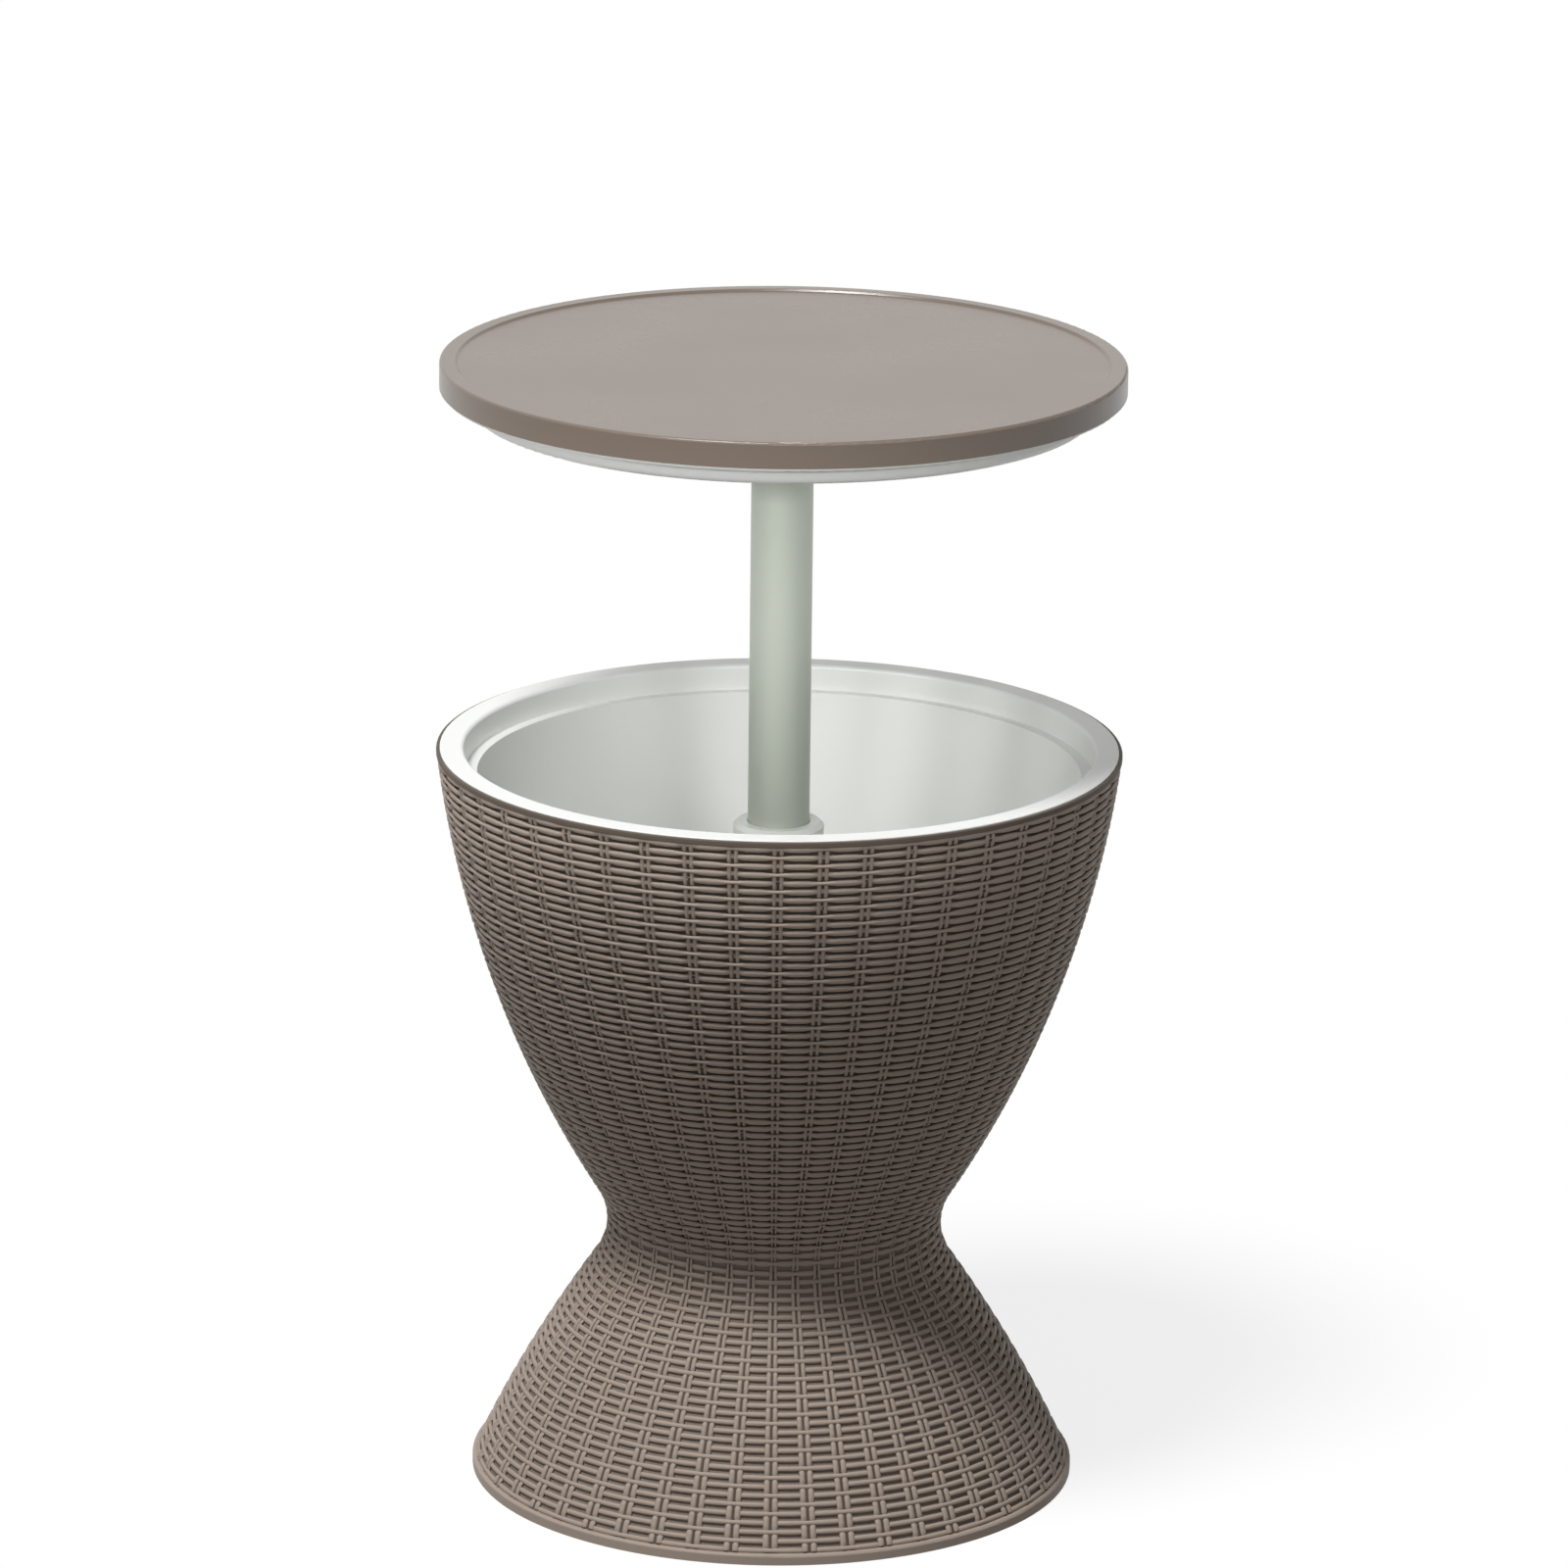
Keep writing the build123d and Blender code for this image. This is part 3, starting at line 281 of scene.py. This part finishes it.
class Wicker:
    """Places of the strands on the wall."""

    FRONT = -math.pi / 2
    # Turn of a row from the stake it passes under, at nought, to the one it passes over, at one
    TURN = np.array([0, 0.09, 0.16, 0.26, 0.46, 0.68, 0.87])
    # Where a row starts to rise on that turn, where it is up, and how far it is narrower
    RISE_START = 0.10
    RISE_END = 0.21
    PINCH_REACH = 0.24
    TUCK_REACH = 0.34
    # Wave of a stake, minus one under a row and one over it: where it starts to rise and is up
    WAVE_START = -0.95
    WAVE_END = 0.1
    STEPS_PER_ROW = 4
    # Row number where the stakes of the bucket begin, and half the way from row to row
    STAKE_HEAD = -0.25
    HALF_ROW = 0.5
    # Corners of a strand's section, as turns from its crest
    SIDES = np.radians([-100, -60, -20, 20, 60, 100])

    def __init__(self, context):
        self.look = context.scene.bar_table_wicker
        self.relief = context.scene.bar_table_outline.relief
        self.wall = Wall(context.scene.bar_table_outline)
        self.stake_step = 2 * math.pi / self.look.stake_count
        bucket = self.look.bucket_first + self.look.bucket_pitch * np.arange(self.look.bucket_rows)
        foot = self.look.foot_first + self.look.foot_pitch * np.arange(self.look.foot_rows)
        self.rows = np.concatenate([bucket, foot])

    def blend(self, name, distance):
        """Value of a bucket and foot pair at distances below the rim."""
        change = ease(self.look.change_start, self.look.change_end, distance)
        bucket = getattr(self.look, "bucket_" + name)
        return bucket + (getattr(self.look, "foot_" + name) - bucket) * change

    def row_strands(self, first, number):
        """Vertices of level strands, by row, step round the axis and side of the strand."""
        rising = self.TURN
        falling = np.concatenate([[0], 1 - self.TURN[:0:-1]])
        stakes = np.arange(self.look.stake_count)
        vertices = []
        for row in range(first, first + number):
            dives = (row + stakes) % 2 == 0
            turn = np.where(dives[:, None], rising, falling)
            crest = np.where(dives[:, None], rising, 1 - falling).ravel()
            azimuth = self.FRONT + self.stake_step * (stakes[:, None] + turn).ravel()
            distance = np.full(azimuth.shape, self.rows[row])
            rise = ease(self.RISE_START, self.RISE_END, crest)
            over = np.exp(-(((1 - crest) / self.PINCH_REACH) ** 2))
            under = np.exp(-((crest / self.TUCK_REACH) ** 2))
            plain_top = self.blend("row_top", distance)
            dive = self.look.row_dive
            top = dive + (plain_top - dive) * rise + (self.relief - plain_top) * over
            narrower = self.blend("pinch", distance) * over + self.blend("tuck", distance) * under
            width = self.blend("row_width", distance) - narrower
            vertices.append(self.strand(azimuth, distance, top, width, upright=False))
        return np.array(vertices)

    def stake_strands(self, stakes, first, last):
        """Vertices of upright strands, two to a stake, from one row number to another."""
        row = np.linspace(first, last, round((last - first) * self.STEPS_PER_ROW) + 1)
        numbers = np.arange(-1, len(self.rows) + 1)
        ends = [2 * self.rows[0] - self.rows[1], *self.rows, 2 * self.rows[-1] - self.rows[-2]]
        distance = np.interp(row, numbers, ends)
        pair = self.blend("stake_share", distance)
        rod = (1 - self.blend("stake_gap", distance)) / 2
        width = pair * rod * self.wall.at(distance)[0]
        dive = self.blend("stake_dive", distance)
        climb = self.blend("stake_top", distance) - dive
        vertices = []
        for stake in stakes:
            over = ease(self.WAVE_START, self.WAVE_END, np.cos(math.pi * (row + stake)))
            top = dive + climb * over
            for side in (-1, 1):
                azimuth = self.FRONT + self.stake_step * stake + side * pair * (1 - rod) / 2
                vertices.append(self.strand(azimuth, distance, top, width, upright=True))
        return np.array(vertices)

    def strand(self, azimuth, distance, top, width, upright):
        """Vertices of one strand: a rounded section swept along the wall."""
        radius, height, down_out, down_up = self.wall.at(distance)
        level = np.zeros_like(azimuth)
        out = np.stack([np.cos(azimuth), np.sin(azimuth), level], -1)
        around = np.stack([-np.sin(azimuth), np.cos(azimuth), level], -1)
        up = np.array([0.0, 0.0, 1.0])
        down = out * down_out[:, None] + up * down_up[:, None]
        normal = out * -down_up[:, None] + up * down_out[:, None]
        foot = out * radius[:, None] + up * height[:, None]
        middle = foot + normal * (top - self.look.depth)[:, None]
        across = around if upright else -down
        wide = across[:, None] * (width[:, None] / 2 * np.sin(self.SIDES))[..., None]
        deep = normal[:, None] * (self.look.depth * np.cos(self.SIDES))[:, None]
        return middle[:, None] + wide + deep


# Map laid over the strands for their finishes, and the clear share of it at each side of a strand
BAKE_MAP = "OFBake"
MAP_MARGIN = 0.04


def strand_object(name, vertices, material, closed):
    """Object of strands from vertices by strand, step along it and side of its section."""
    strands, steps, sides, _ = vertices.shape
    spans = steps if closed else steps - 1
    numbers = (np.arange(strands), np.arange(spans), np.arange(sides))
    strand, span, side = np.meshgrid(*numbers, indexing="ij")

    def corner(step, edge):
        return (strand * steps + step % steps) * sides + edge % sides

    near = [corner(span, side), corner(span, side + 1)]
    far = [corner(span + 1, side + 1), corner(span + 1, side)]
    faces = np.stack(near + far, -1).reshape(-1, 4)
    along = np.stack([span, span, span + 1, span + 1], -1) / spans
    aside = np.stack([side, side + 1, side + 1, side], -1) / sides
    lane = MAP_MARGIN + (1 - 2 * MAP_MARGIN) * aside
    places = np.stack([along, (strand[..., None] + lane) / strands], -1)
    crest = np.broadcast_to(np.cos(Wicker.SIDES), (strands * steps, sides))
    mesh = bpy.data.meshes.new(name)
    mesh.vertices.add(vertices.size // 3)
    mesh.vertices.foreach_set("co", vertices.astype(np.float32).ravel())
    mesh.loops.add(faces.size)
    mesh.loops.foreach_set("vertex_index", faces.astype(np.int32).ravel())
    mesh.polygons.add(len(faces))
    mesh.polygons.foreach_set("loop_start", np.arange(0, faces.size, 4, dtype=np.int32))
    mesh.polygons.foreach_set("use_smooth", np.ones(len(faces), dtype=bool))
    mesh.update(calc_edges=True)
    bake_map = mesh.uv_layers.new(name=BAKE_MAP)
    bake_map.data.foreach_set("uv", places.astype(np.float32).ravel())
    # Height on each strand's section, which the wicker material turns into painted shade down the
    # sides
    shade = mesh.attributes.new("crest", "FLOAT", "POINT")
    shade.data.foreach_set("value", crest.astype(np.float32).ravel())
    mesh.validate()
    mesh.materials.append(material)
    wicker = bpy.data.objects.new(name, mesh)
    bpy.context.collection.objects.link(wicker)
    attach(wicker, "stand")


def feed(tree, entry, value):
    """Links a socket to an input, or sets the input to a plain value."""
    if isinstance(value, bpy.types.NodeSocket):
        tree.links.new(value, entry)
    else:
        entry.default_value = value


def worked_out(tree, operation, *values):
    """Socket with the result of a sum on sockets or plain values."""
    node = tree.nodes.new("ShaderNodeMath")
    node.operation = operation
    for entry, value in zip(node.inputs, values):
        feed(tree, entry, value)
    return node.outputs["Value"]


def scaled(tree, tint, scale):
    """Socket with a tint times a value."""
    node = tree.nodes.new("ShaderNodeVectorMath")
    node.operation = "SCALE"
    feed(tree, node.inputs[0], tint)
    feed(tree, node.inputs["Scale"], scale)
    return node.outputs["Vector"]


def ranged(tree, value, low, high):
    """Node that takes a value from nought and one to low and high."""
    node = tree.nodes.new("ShaderNodeMapRange")
    feed(tree, node.inputs["Value"], value)
    node.inputs["To Min"].default_value = low
    node.inputs["To Max"].default_value = high
    return node


def mixed(tree, portion, first, second):
    """Socket with two shaders mixed, by the portion of the second."""
    node = tree.nodes.new("ShaderNodeMixShader")
    for entry, value in zip(node.inputs, (portion, first, second)):
        feed(tree, entry, value)
    return node.outputs["Shader"]


# Noise of the grain, and the height at which its tone is one
GRAIN_DETAIL = 3
GRAIN_ROUGHNESS = 0.6
GRAIN_MIDDLE = 0.5


def grain_group():
    """Node group of the fine moulded grain: a height and a tone that vary over the surface."""
    group = bpy.data.node_groups.get("Moulded grain")
    if group:
        return group
    group = bpy.data.node_groups.new("Moulded grain", "ShaderNodeTree")
    for name in ("Scale", "Contrast"):
        group.interface.new_socket(name, in_out="INPUT", socket_type="NodeSocketFloat")
    for name in ("Height", "Tone"):
        group.interface.new_socket(name, in_out="OUTPUT", socket_type="NodeSocketFloat")
    entry = group.nodes.new("NodeGroupInput")
    leave = group.nodes.new("NodeGroupOutput")
    point = group.nodes.new("ShaderNodeTexCoord")
    noise = group.nodes.new("ShaderNodeTexNoise")
    noise.inputs["Detail"].default_value = GRAIN_DETAIL
    noise.inputs["Roughness"].default_value = GRAIN_ROUGHNESS
    height = noise.outputs["Fac"]
    contrast = entry.outputs["Contrast"]
    darkest = worked_out(group, "MULTIPLY_ADD", contrast, -GRAIN_MIDDLE, 1)
    tone = worked_out(group, "MULTIPLY_ADD", height, contrast, darkest)
    group.links.new(point.outputs["Object"], noise.inputs["Vector"])
    group.links.new(entry.outputs["Scale"], noise.inputs["Scale"])
    group.links.new(height, leave.inputs["Height"])
    group.links.new(tone, leave.inputs["Tone"])
    return group


def grain_node(tree, scale, contrast):
    """Grain group placed in a material, with its own values."""
    node = tree.nodes.new("ShaderNodeGroup")
    node.node_tree = grain_group()
    node.inputs["Scale"].default_value = scale
    node.inputs["Contrast"].default_value = contrast
    return node


class Surface(NamedTuple):
    """Fine grain, with its depth in metres, slow mottling and gloss of a finish."""

    scale: float
    contrast: float
    depth: float
    mottle: float
    rough: float
    shine: float = 0.5
    metal: float = 0.0


STRAND = Surface(scale=700, contrast=0.14, depth=0.0002, mottle=0.12, rough=0.55, shine=0.25)
GROOVE = STRAND._replace(mottle=0.1, rough=0.65, shine=0.1)
PLAIN = Surface(scale=1100, contrast=0.1, depth=0.00015, mottle=0.08, rough=0.55, shine=0.3)
RIM_BAND = PLAIN._replace(rough=0.6, shine=0.2)
DECK = PLAIN._replace(mottle=0.06, rough=0.28, shine=0.7)
WHITE = Surface(scale=900, contrast=0.03, depth=0.00006, mottle=0.03, rough=0.32, shine=0.8)
SATIN = Surface(scale=1500, contrast=0.05, depth=0.00004, mottle=0.04, rough=0.42, metal=0.4)
STEEL = Surface(scale=1800, contrast=0.06, depth=0.00004, mottle=0.08, rough=0.35, metal=1)
NYLON = Surface(scale=900, contrast=0.1, depth=0.0001, mottle=0.08, rough=0.5)
GREY = NYLON._replace(contrast=0.08, mottle=0.06)
RUBBER = Surface(scale=1200, contrast=0.15, depth=0.0001, mottle=0.1, rough=0.75)

# Scale of the mottling, swing of the roughness with it, and strength of the grain's relief
MOTTLE_SCALE = 7
GLOSS_SWING = 0.06
BUMP_STRENGTH = 0.5


def finish_material(name, tint, surface):
    """Material with a fine grain, slow mottling of its tone and an uneven gloss."""
    material = bpy.data.materials.new(name)
    material.use_nodes = True
    tree = material.node_tree
    shader = tree.nodes["Principled BSDF"]
    shader.inputs["Metallic"].default_value = surface.metal
    shader.inputs["Specular IOR Level"].default_value = surface.shine
    grain = grain_node(tree, surface.scale, surface.contrast)
    cloud = grain_node(tree, MOTTLE_SCALE, surface.mottle)
    tone = worked_out(tree, "MULTIPLY", grain.outputs["Tone"], cloud.outputs["Tone"])
    glossy, dull = surface.rough - GLOSS_SWING, surface.rough + GLOSS_SWING
    gloss = ranged(tree, cloud.outputs["Height"], glossy, dull)
    bump = tree.nodes.new("ShaderNodeBump")
    bump.inputs["Strength"].default_value = BUMP_STRENGTH
    bump.inputs["Distance"].default_value = surface.depth
    tree.links.new(grain.outputs["Height"], bump.inputs["Height"])
    tree.links.new(scaled(tree, tint, tone), shader.inputs["Base Color"])
    tree.links.new(gloss.outputs["Result"], shader.inputs["Roughness"])
    tree.links.new(bump.outputs["Normal"], shader.inputs["Normal"])
    return material


# Painted shade down a strand's sides: its tone at its edge, and how high on its section the edge
# is and full tone starts
PAINTED_EDGE_SHADE = 0.7
EDGE_HEIGHT = -0.17
FULL_TONE_HEIGHT = 0.8


def wicker_material(context):
    """Material of the wicker strands, with painted shade that darkens them down their sides, made
    once.
    """
    known = bpy.data.materials.get("Wicker strand")
    if known:
        return known
    material = finish_material("Wicker strand", context.scene.bar_table_finish.wicker, STRAND)
    tree = material.node_tree
    crest = tree.nodes.new("ShaderNodeAttribute")
    crest.attribute_name = "crest"
    # Painted shade: darker from the crest of the strand to its edge
    shade = ranged(tree, crest.outputs["Fac"], PAINTED_EDGE_SHADE, 1)
    shade.interpolation_type = "SMOOTHSTEP"
    shade.inputs["From Min"].default_value = EDGE_HEIGHT
    shade.inputs["From Max"].default_value = FULL_TONE_HEIGHT
    base = tree.nodes["Principled BSDF"].inputs["Base Color"]
    paint = base.links[0].from_socket
    tree.links.new(scaled(tree, paint, shade.outputs["Result"]), base)
    return material


def face_centres(mesh):
    """Centres of a mesh's faces."""
    centres = np.empty(3 * len(mesh.polygons), np.float32)
    mesh.polygons.foreach_get("center", centres)
    return centres.reshape(-1, 3)


# Material slot of a node's first zone. Slot nought holds what lies outside the zones
FIRST_ZONE = 1


def dress_zones(node, outside, *zones):
    """Gives a CAD node a material, and its faces between each zone's heights that zone's own."""
    mesh = frame["nodes"][node].data
    dress(outside, node)
    height = face_centres(mesh)[:, 2]
    index = np.zeros(len(mesh.polygons), np.int32)
    for number, (low, high, material) in enumerate(zones, FIRST_ZONE):
        index[(height > low) & (height < high)] = number
        mesh.materials.append(material)
    mesh.polygons.foreach_set("material_index", index)


def dress_ribs(node, wicker, material):
    """Gives the ribs under the stakes, in the first zone of a CAD node, a material."""
    mesh = frame["nodes"][node].data
    x, y, _ = face_centres(mesh).T
    step = 2 * math.pi / wicker.stake_count
    turn = np.arctan2(y, x) / step
    near_stake = np.abs(turn - np.round(turn)) * step < wicker.rib_reach
    index = np.empty(len(mesh.polygons), np.int32)
    mesh.polygons.foreach_get("material_index", index)
    index[near_stake & (index == FIRST_ZONE)] = len(mesh.materials)
    mesh.materials.append(material)
    mesh.polygons.foreach_set("material_index", index)


def dress(material, *nodes):
    """Gives CAD nodes a material."""
    for node in nodes:
        mesh = frame["nodes"][node].data
        mesh.materials.clear()
        mesh.materials.append(material)


class WeaveBucket(bpy.types.Operator):
    """Wicker relief of the bucket: level strands and pairs of upright stakes"""

    bl_idname = "bar_table.weave_bucket"
    bl_label = "Weave bucket"

    def execute(self, context):
        wicker = Wicker(context)
        material = wicker_material(context)
        rows, stakes = wicker.look.bucket_rows, wicker.look.stake_count
        upper = wicker.row_strands(0, rows // 2)
        strand_object("bucket_rows_upper", upper, material, closed=True)
        lower = wicker.row_strands(rows // 2, rows - rows // 2)
        strand_object("bucket_rows_lower", lower, material, closed=True)
        halves = {"right": range(stakes // 2), "left": range(stakes // 2, stakes)}
        for side, half in halves.items():
            uprights = wicker.stake_strands(half, wicker.STAKE_HEAD, rows - wicker.HALF_ROW)
            strand_object("bucket_stakes_" + side, uprights, material, closed=False)
        return {"FINISHED"}


class WeaveFoot(bpy.types.Operator):
    """Wicker relief of the flared foot"""

    bl_idname = "bar_table.weave_foot"
    bl_label = "Weave foot"

    def execute(self, context):
        wicker = Wicker(context)
        material = wicker_material(context)
        first = wicker.look.bucket_rows
        end = first + wicker.look.foot_rows
        level = wicker.row_strands(first, wicker.look.foot_rows)
        strand_object("foot_rows", level, material, closed=True)
        stakes = range(wicker.look.stake_count)
        uprights = wicker.stake_strands(stakes, first - wicker.HALF_ROW, end)
        strand_object("foot_stakes", uprights, material, closed=False)
        return {"FINISHED"}


class FinishWalls(bpy.types.Operator):
    """Finish of the walls between the strands, and of the plain rim band and hem; the walls, the
    stake gaps and the rim band are darkened as painted shade
    """

    bl_idname = "bar_table.finish_walls"
    bl_label = "Finish walls"

    def execute(self, context):
        finish = context.scene.bar_table_finish
        outline = context.scene.bar_table_outline
        plain = finish_material("Plain taupe plastic", finish.wicker, PLAIN)
        # Painted shadow on the rim band and the inside of the bucket shell
        band = finish_material("Rim band plastic", finish.rim_band_shade, RIM_BAND)
        # Painted shade in the bucket's grooves
        bucket = finish_material("Bucket groove", finish.bucket_groove_shade, GROOVE)
        # Painted shade in the foot's grooves, also on the bucket shell below the seam
        foot = finish_material("Foot groove", finish.foot_groove_shade, GROOVE)
        # Painted shadow for the gaps between paired stakes
        gap = finish_material("Stake gap", finish.stake_gap, GROOVE)
        # The foot's lighter painted shade goes up past the waist, and the bucket's darker painted
        # shade starts above it
        seam = outline.waist_height + outline.seam_rise
        band_foot = outline.rim_height - outline.band
        dress_zones("bucket_shell", band, (0, seam, foot), (seam, band_foot, bucket))
        dress_zones("base_skirt", plain, (outline.hem_height, outline.waist_height, foot))
        # Painted shadow on the wall's ribs between the two stakes of each pair
        dress_ribs("base_skirt", context.scene.bar_table_wicker, gap)
        return {"FINISHED"}


class FinishTabletop(bpy.types.Operator):
    """Finish of the deck of the tabletop"""

    bl_idname = "bar_table.finish_tabletop"
    bl_label = "Finish tabletop"

    def execute(self, context):
        finish = context.scene.bar_table_finish
        deck = finish_material("Tabletop plastic", finish.table, DECK)
        dress(deck, *SLOT_NODES["table_plastic"])
        return {"FINISHED"}


class FinishWhiteParts(bpy.types.Operator):
    """Finish of the liner, the dish, the column cap and the drain"""

    bl_idname = "bar_table.finish_white_parts"
    bl_label = "Finish white parts"

    def execute(self, context):
        finish = context.scene.bar_table_finish
        white = finish_material("White plastic", finish.white, WHITE)
        dress(white, *SLOT_NODES["white_plastic"])
        return {"FINISHED"}


class FinishMetal(bpy.types.Operator):
    """Finish of the pole, the guide tube, the screws and the pins"""

    bl_idname = "bar_table.finish_metal"
    bl_label = "Finish metal"

    def execute(self, context):
        finish = context.scene.bar_table_finish
        satin = finish_material("Satin aluminium", finish.pole, SATIN)
        dress(satin, *SLOT_NODES["pole_aluminium"])
        steel = finish_material("Plated steel", finish.steel, STEEL)
        dress(steel, *SLOT_NODES["steel"])
        return {"FINISHED"}


class FinishLock(bpy.types.Operator):
    """Finish of the twist lock, the bushes, the hub and the rubber parts"""

    bl_idname = "bar_table.finish_lock"
    bl_label = "Finish lock"

    def execute(self, context):
        finish = context.scene.bar_table_finish
        nylon = finish_material("Dark nylon", finish.nylon, NYLON)
        dress(nylon, *SLOT_NODES["dark_nylon"])
        grey = finish_material("Grey plastic", finish.grey, GREY)
        dress(grey, *SLOT_NODES["grey_plastic"])
        rubber = finish_material("Rubber", finish.rubber, RUBBER)
        dress(rubber, *SLOT_NODES["rubber"])
        return {"FINISHED"}


class BuildStage(bpy.types.Operator):
    """Pale floor, soft lamps and the camera"""

    bl_idname = "bar_table.build_stage"
    bl_label = "Build stage"

    # Sensor of the camera in millimetres, and the distance it sees to in metres
    SENSOR_WIDTH = 36
    VIEW_REACH = 200
    FULL_WHITE = (1, 1, 1, 1)

    def execute(self, context):
        stage = context.scene.bar_table_stage
        context.scene.view_settings.view_transform = "Standard"
        self.place_camera(context, stage)
        self.hang_lamp(context, stage, "key")
        self.hang_lamp(context, stage, "fill")
        self.light_gap(context, stage)
        self.light_sky(context, stage)
        self.lay_floor(context, stage)
        return {"FINISHED"}

    def place_camera(self, context, stage):
        """Camera that looks down at the table from the front."""
        data = bpy.data.cameras.new("Camera")
        data.lens = stage.lens
        data.sensor_width = self.SENSOR_WIDTH
        data.sensor_fit = "HORIZONTAL"
        data.shift_x = stage.shift_x
        data.shift_y = stage.shift_y
        data.clip_end = self.VIEW_REACH
        camera = bpy.data.objects.new("Camera", data)
        turn = Matrix.Rotation(math.pi / 2 - stage.camera_pitch, 4, "X")
        roll = Matrix.Rotation(stage.camera_roll, 4, "Z")
        camera.matrix_world = Matrix.Translation(stage.camera_place) @ turn @ roll
        context.collection.objects.link(camera)
        context.scene.camera = camera

    def hang_lamp(self, context, stage, name):
        """Far lamp with the settings of that name."""
        data = bpy.data.lights.new(name.capitalize() + " light", "SUN")
        data.energy = getattr(stage, name + "_strength")
        data.angle = getattr(stage, name + "_softness")
        lamp = bpy.data.objects.new(data.name, data)
        height, side = getattr(stage, name + "_height"), getattr(stage, name + "_side")
        lamp.rotation_euler = (math.pi / 2 - height, 0, -side)
        context.collection.objects.link(lamp)

    def light_gap(self, context, stage):
        """Strip of narrow lamps that shine into the gap between tabletop and bucket."""
        data = bpy.data.lights.new("Gap lamp", "AREA")
        data.shape = "RECTANGLE"
        data.size = stage.gap_width
        data.size_y = stage.gap_height
        data.spread = stage.gap_spread
        data.energy = stage.gap_power
        for turn in np.linspace(stage.gap_first, stage.gap_last, stage.gap_lamps):
            lamp = bpy.data.objects.new("Gap lamp", data)
            left, near = stage.gap_reach * math.sin(turn), stage.gap_reach * math.cos(turn)
            lamp.location = (-left, -near, stage.gap_level)
            way = Vector(stage.gap_aim) - lamp.location
            lamp.rotation_euler = way.to_track_quat("-Z", "Y").to_euler()
            context.collection.objects.link(lamp)

    def light_sky(self, context, stage):
        """Low light from all round, and white where the sky itself is seen."""
        world = bpy.data.worlds.new("Studio")
        world.use_nodes = True
        tree = world.node_tree
        sky = tree.nodes["Background"]
        sky.inputs["Color"].default_value = self.FULL_WHITE
        sky.inputs["Strength"].default_value = stage.sky
        backdrop = tree.nodes.new("ShaderNodeBackground")
        backdrop.inputs["Color"].default_value = self.FULL_WHITE
        shown = backdrop.outputs["Background"]
        result = mixed(tree, seen_directly(tree), sky.outputs["Background"], shown)
        tree.links.new(result, tree.nodes["World Output"].inputs["Surface"])
        context.scene.world = world

    def lay_floor(self, context, stage):
        """White floor with a soft shadow, which throws little light back at the table."""
        size = stage.floor_size
        corners = [(-size, -size, 0), (size, -size, 0), (size, size, 0), (-size, size, 0)]
        mesh = bpy.data.meshes.new("Floor")
        mesh.from_pydata(corners, [], [(0, 1, 2, 3)])
        floor = bpy.data.objects.new("Floor", mesh)
        context.collection.objects.link(floor)
        material = bpy.data.materials.new("Floor")
        material.use_nodes = True
        tree = material.node_tree
        tree.nodes.remove(tree.nodes["Principled BSDF"])
        paper = tree.nodes.new("ShaderNodeBsdfDiffuse")
        paper.inputs["Color"].default_value = (*stage.floor_paper, 1)
        glow = tree.nodes.new("ShaderNodeEmission")
        glow.inputs["Color"].default_value = self.FULL_WHITE
        glow.inputs["Strength"].default_value = stage.floor_glow
        bounce = tree.nodes.new("ShaderNodeBsdfDiffuse")
        bounce.inputs["Color"].default_value = (*stage.floor_bounce, 1)
        lit, glowing = paper.outputs["BSDF"], glow.outputs["Emission"]
        shown = mixed(tree, stage.floor_glow_share, lit, glowing)
        result = mixed(tree, seen_directly(tree), bounce.outputs["BSDF"], shown)
        tree.links.new(result, tree.nodes["Material Output"].inputs["Surface"])
        mesh.materials.append(material)


def seen_directly(tree):
    """Socket that is one for rays from the camera, a mirror or a glass, and else nought."""
    path = tree.nodes.new("ShaderNodeLightPath").outputs
    mirror = worked_out(tree, "MAXIMUM", path["Is Camera Ray"], path["Is Glossy Ray"])
    return worked_out(tree, "MAXIMUM", mirror, path["Is Transmission Ray"])


OPERATORS = (
    WeaveBucket,
    WeaveFoot,
    FinishWalls,
    FinishTabletop,
    FinishWhiteParts,
    FinishMetal,
    FinishLock,
    BuildStage,
)
SETTINGS = {
    "bar_table_outline": OutlineSettings,
    "bar_table_wicker": WickerSettings,
    "bar_table_finish": FinishSettings,
    "bar_table_stage": StageSettings,
}


class BarTablePanel(bpy.types.Panel):
    """Panel that lists the steps and their settings"""

    bl_idname = "VIEW3D_PT_bar_table"
    bl_label = "Bar table"
    bl_space_type = "VIEW_3D"
    bl_region_type = "UI"
    bl_category = "Bar table"

    def draw(self, context):
        for operator in OPERATORS:
            self.layout.operator(operator.bl_idname)
        for name, group in SETTINGS.items():
            box = self.layout.box()
            for field in group.__annotations__:
                box.prop(getattr(context.scene, name), field)


CLASSES = (*SETTINGS.values(), *OPERATORS, BarTablePanel)


def register():
    """Adds the settings, the operators and the panel."""
    for item in CLASSES:
        bpy.utils.register_class(item)
    for name, group in SETTINGS.items():
        setattr(bpy.types.Scene, name, PointerProperty(type=group))


def unregister():
    """Takes the settings, the operators and the panel away again."""
    for name in SETTINGS:
        delattr(bpy.types.Scene, name)
    for item in reversed(CLASSES):
        bpy.utils.unregister_class(item)


def main():
    """Builds the looks and the stage in order."""
    register()
    bpy.ops.bar_table.weave_bucket()
    bpy.ops.bar_table.weave_foot()
    bpy.ops.bar_table.finish_walls()
    bpy.ops.bar_table.finish_tabletop()
    bpy.ops.bar_table.finish_white_parts()
    bpy.ops.bar_table.finish_metal()
    bpy.ops.bar_table.finish_lock()
    bpy.ops.bar_table.build_stage()


if __name__ == "__main__":
    main()
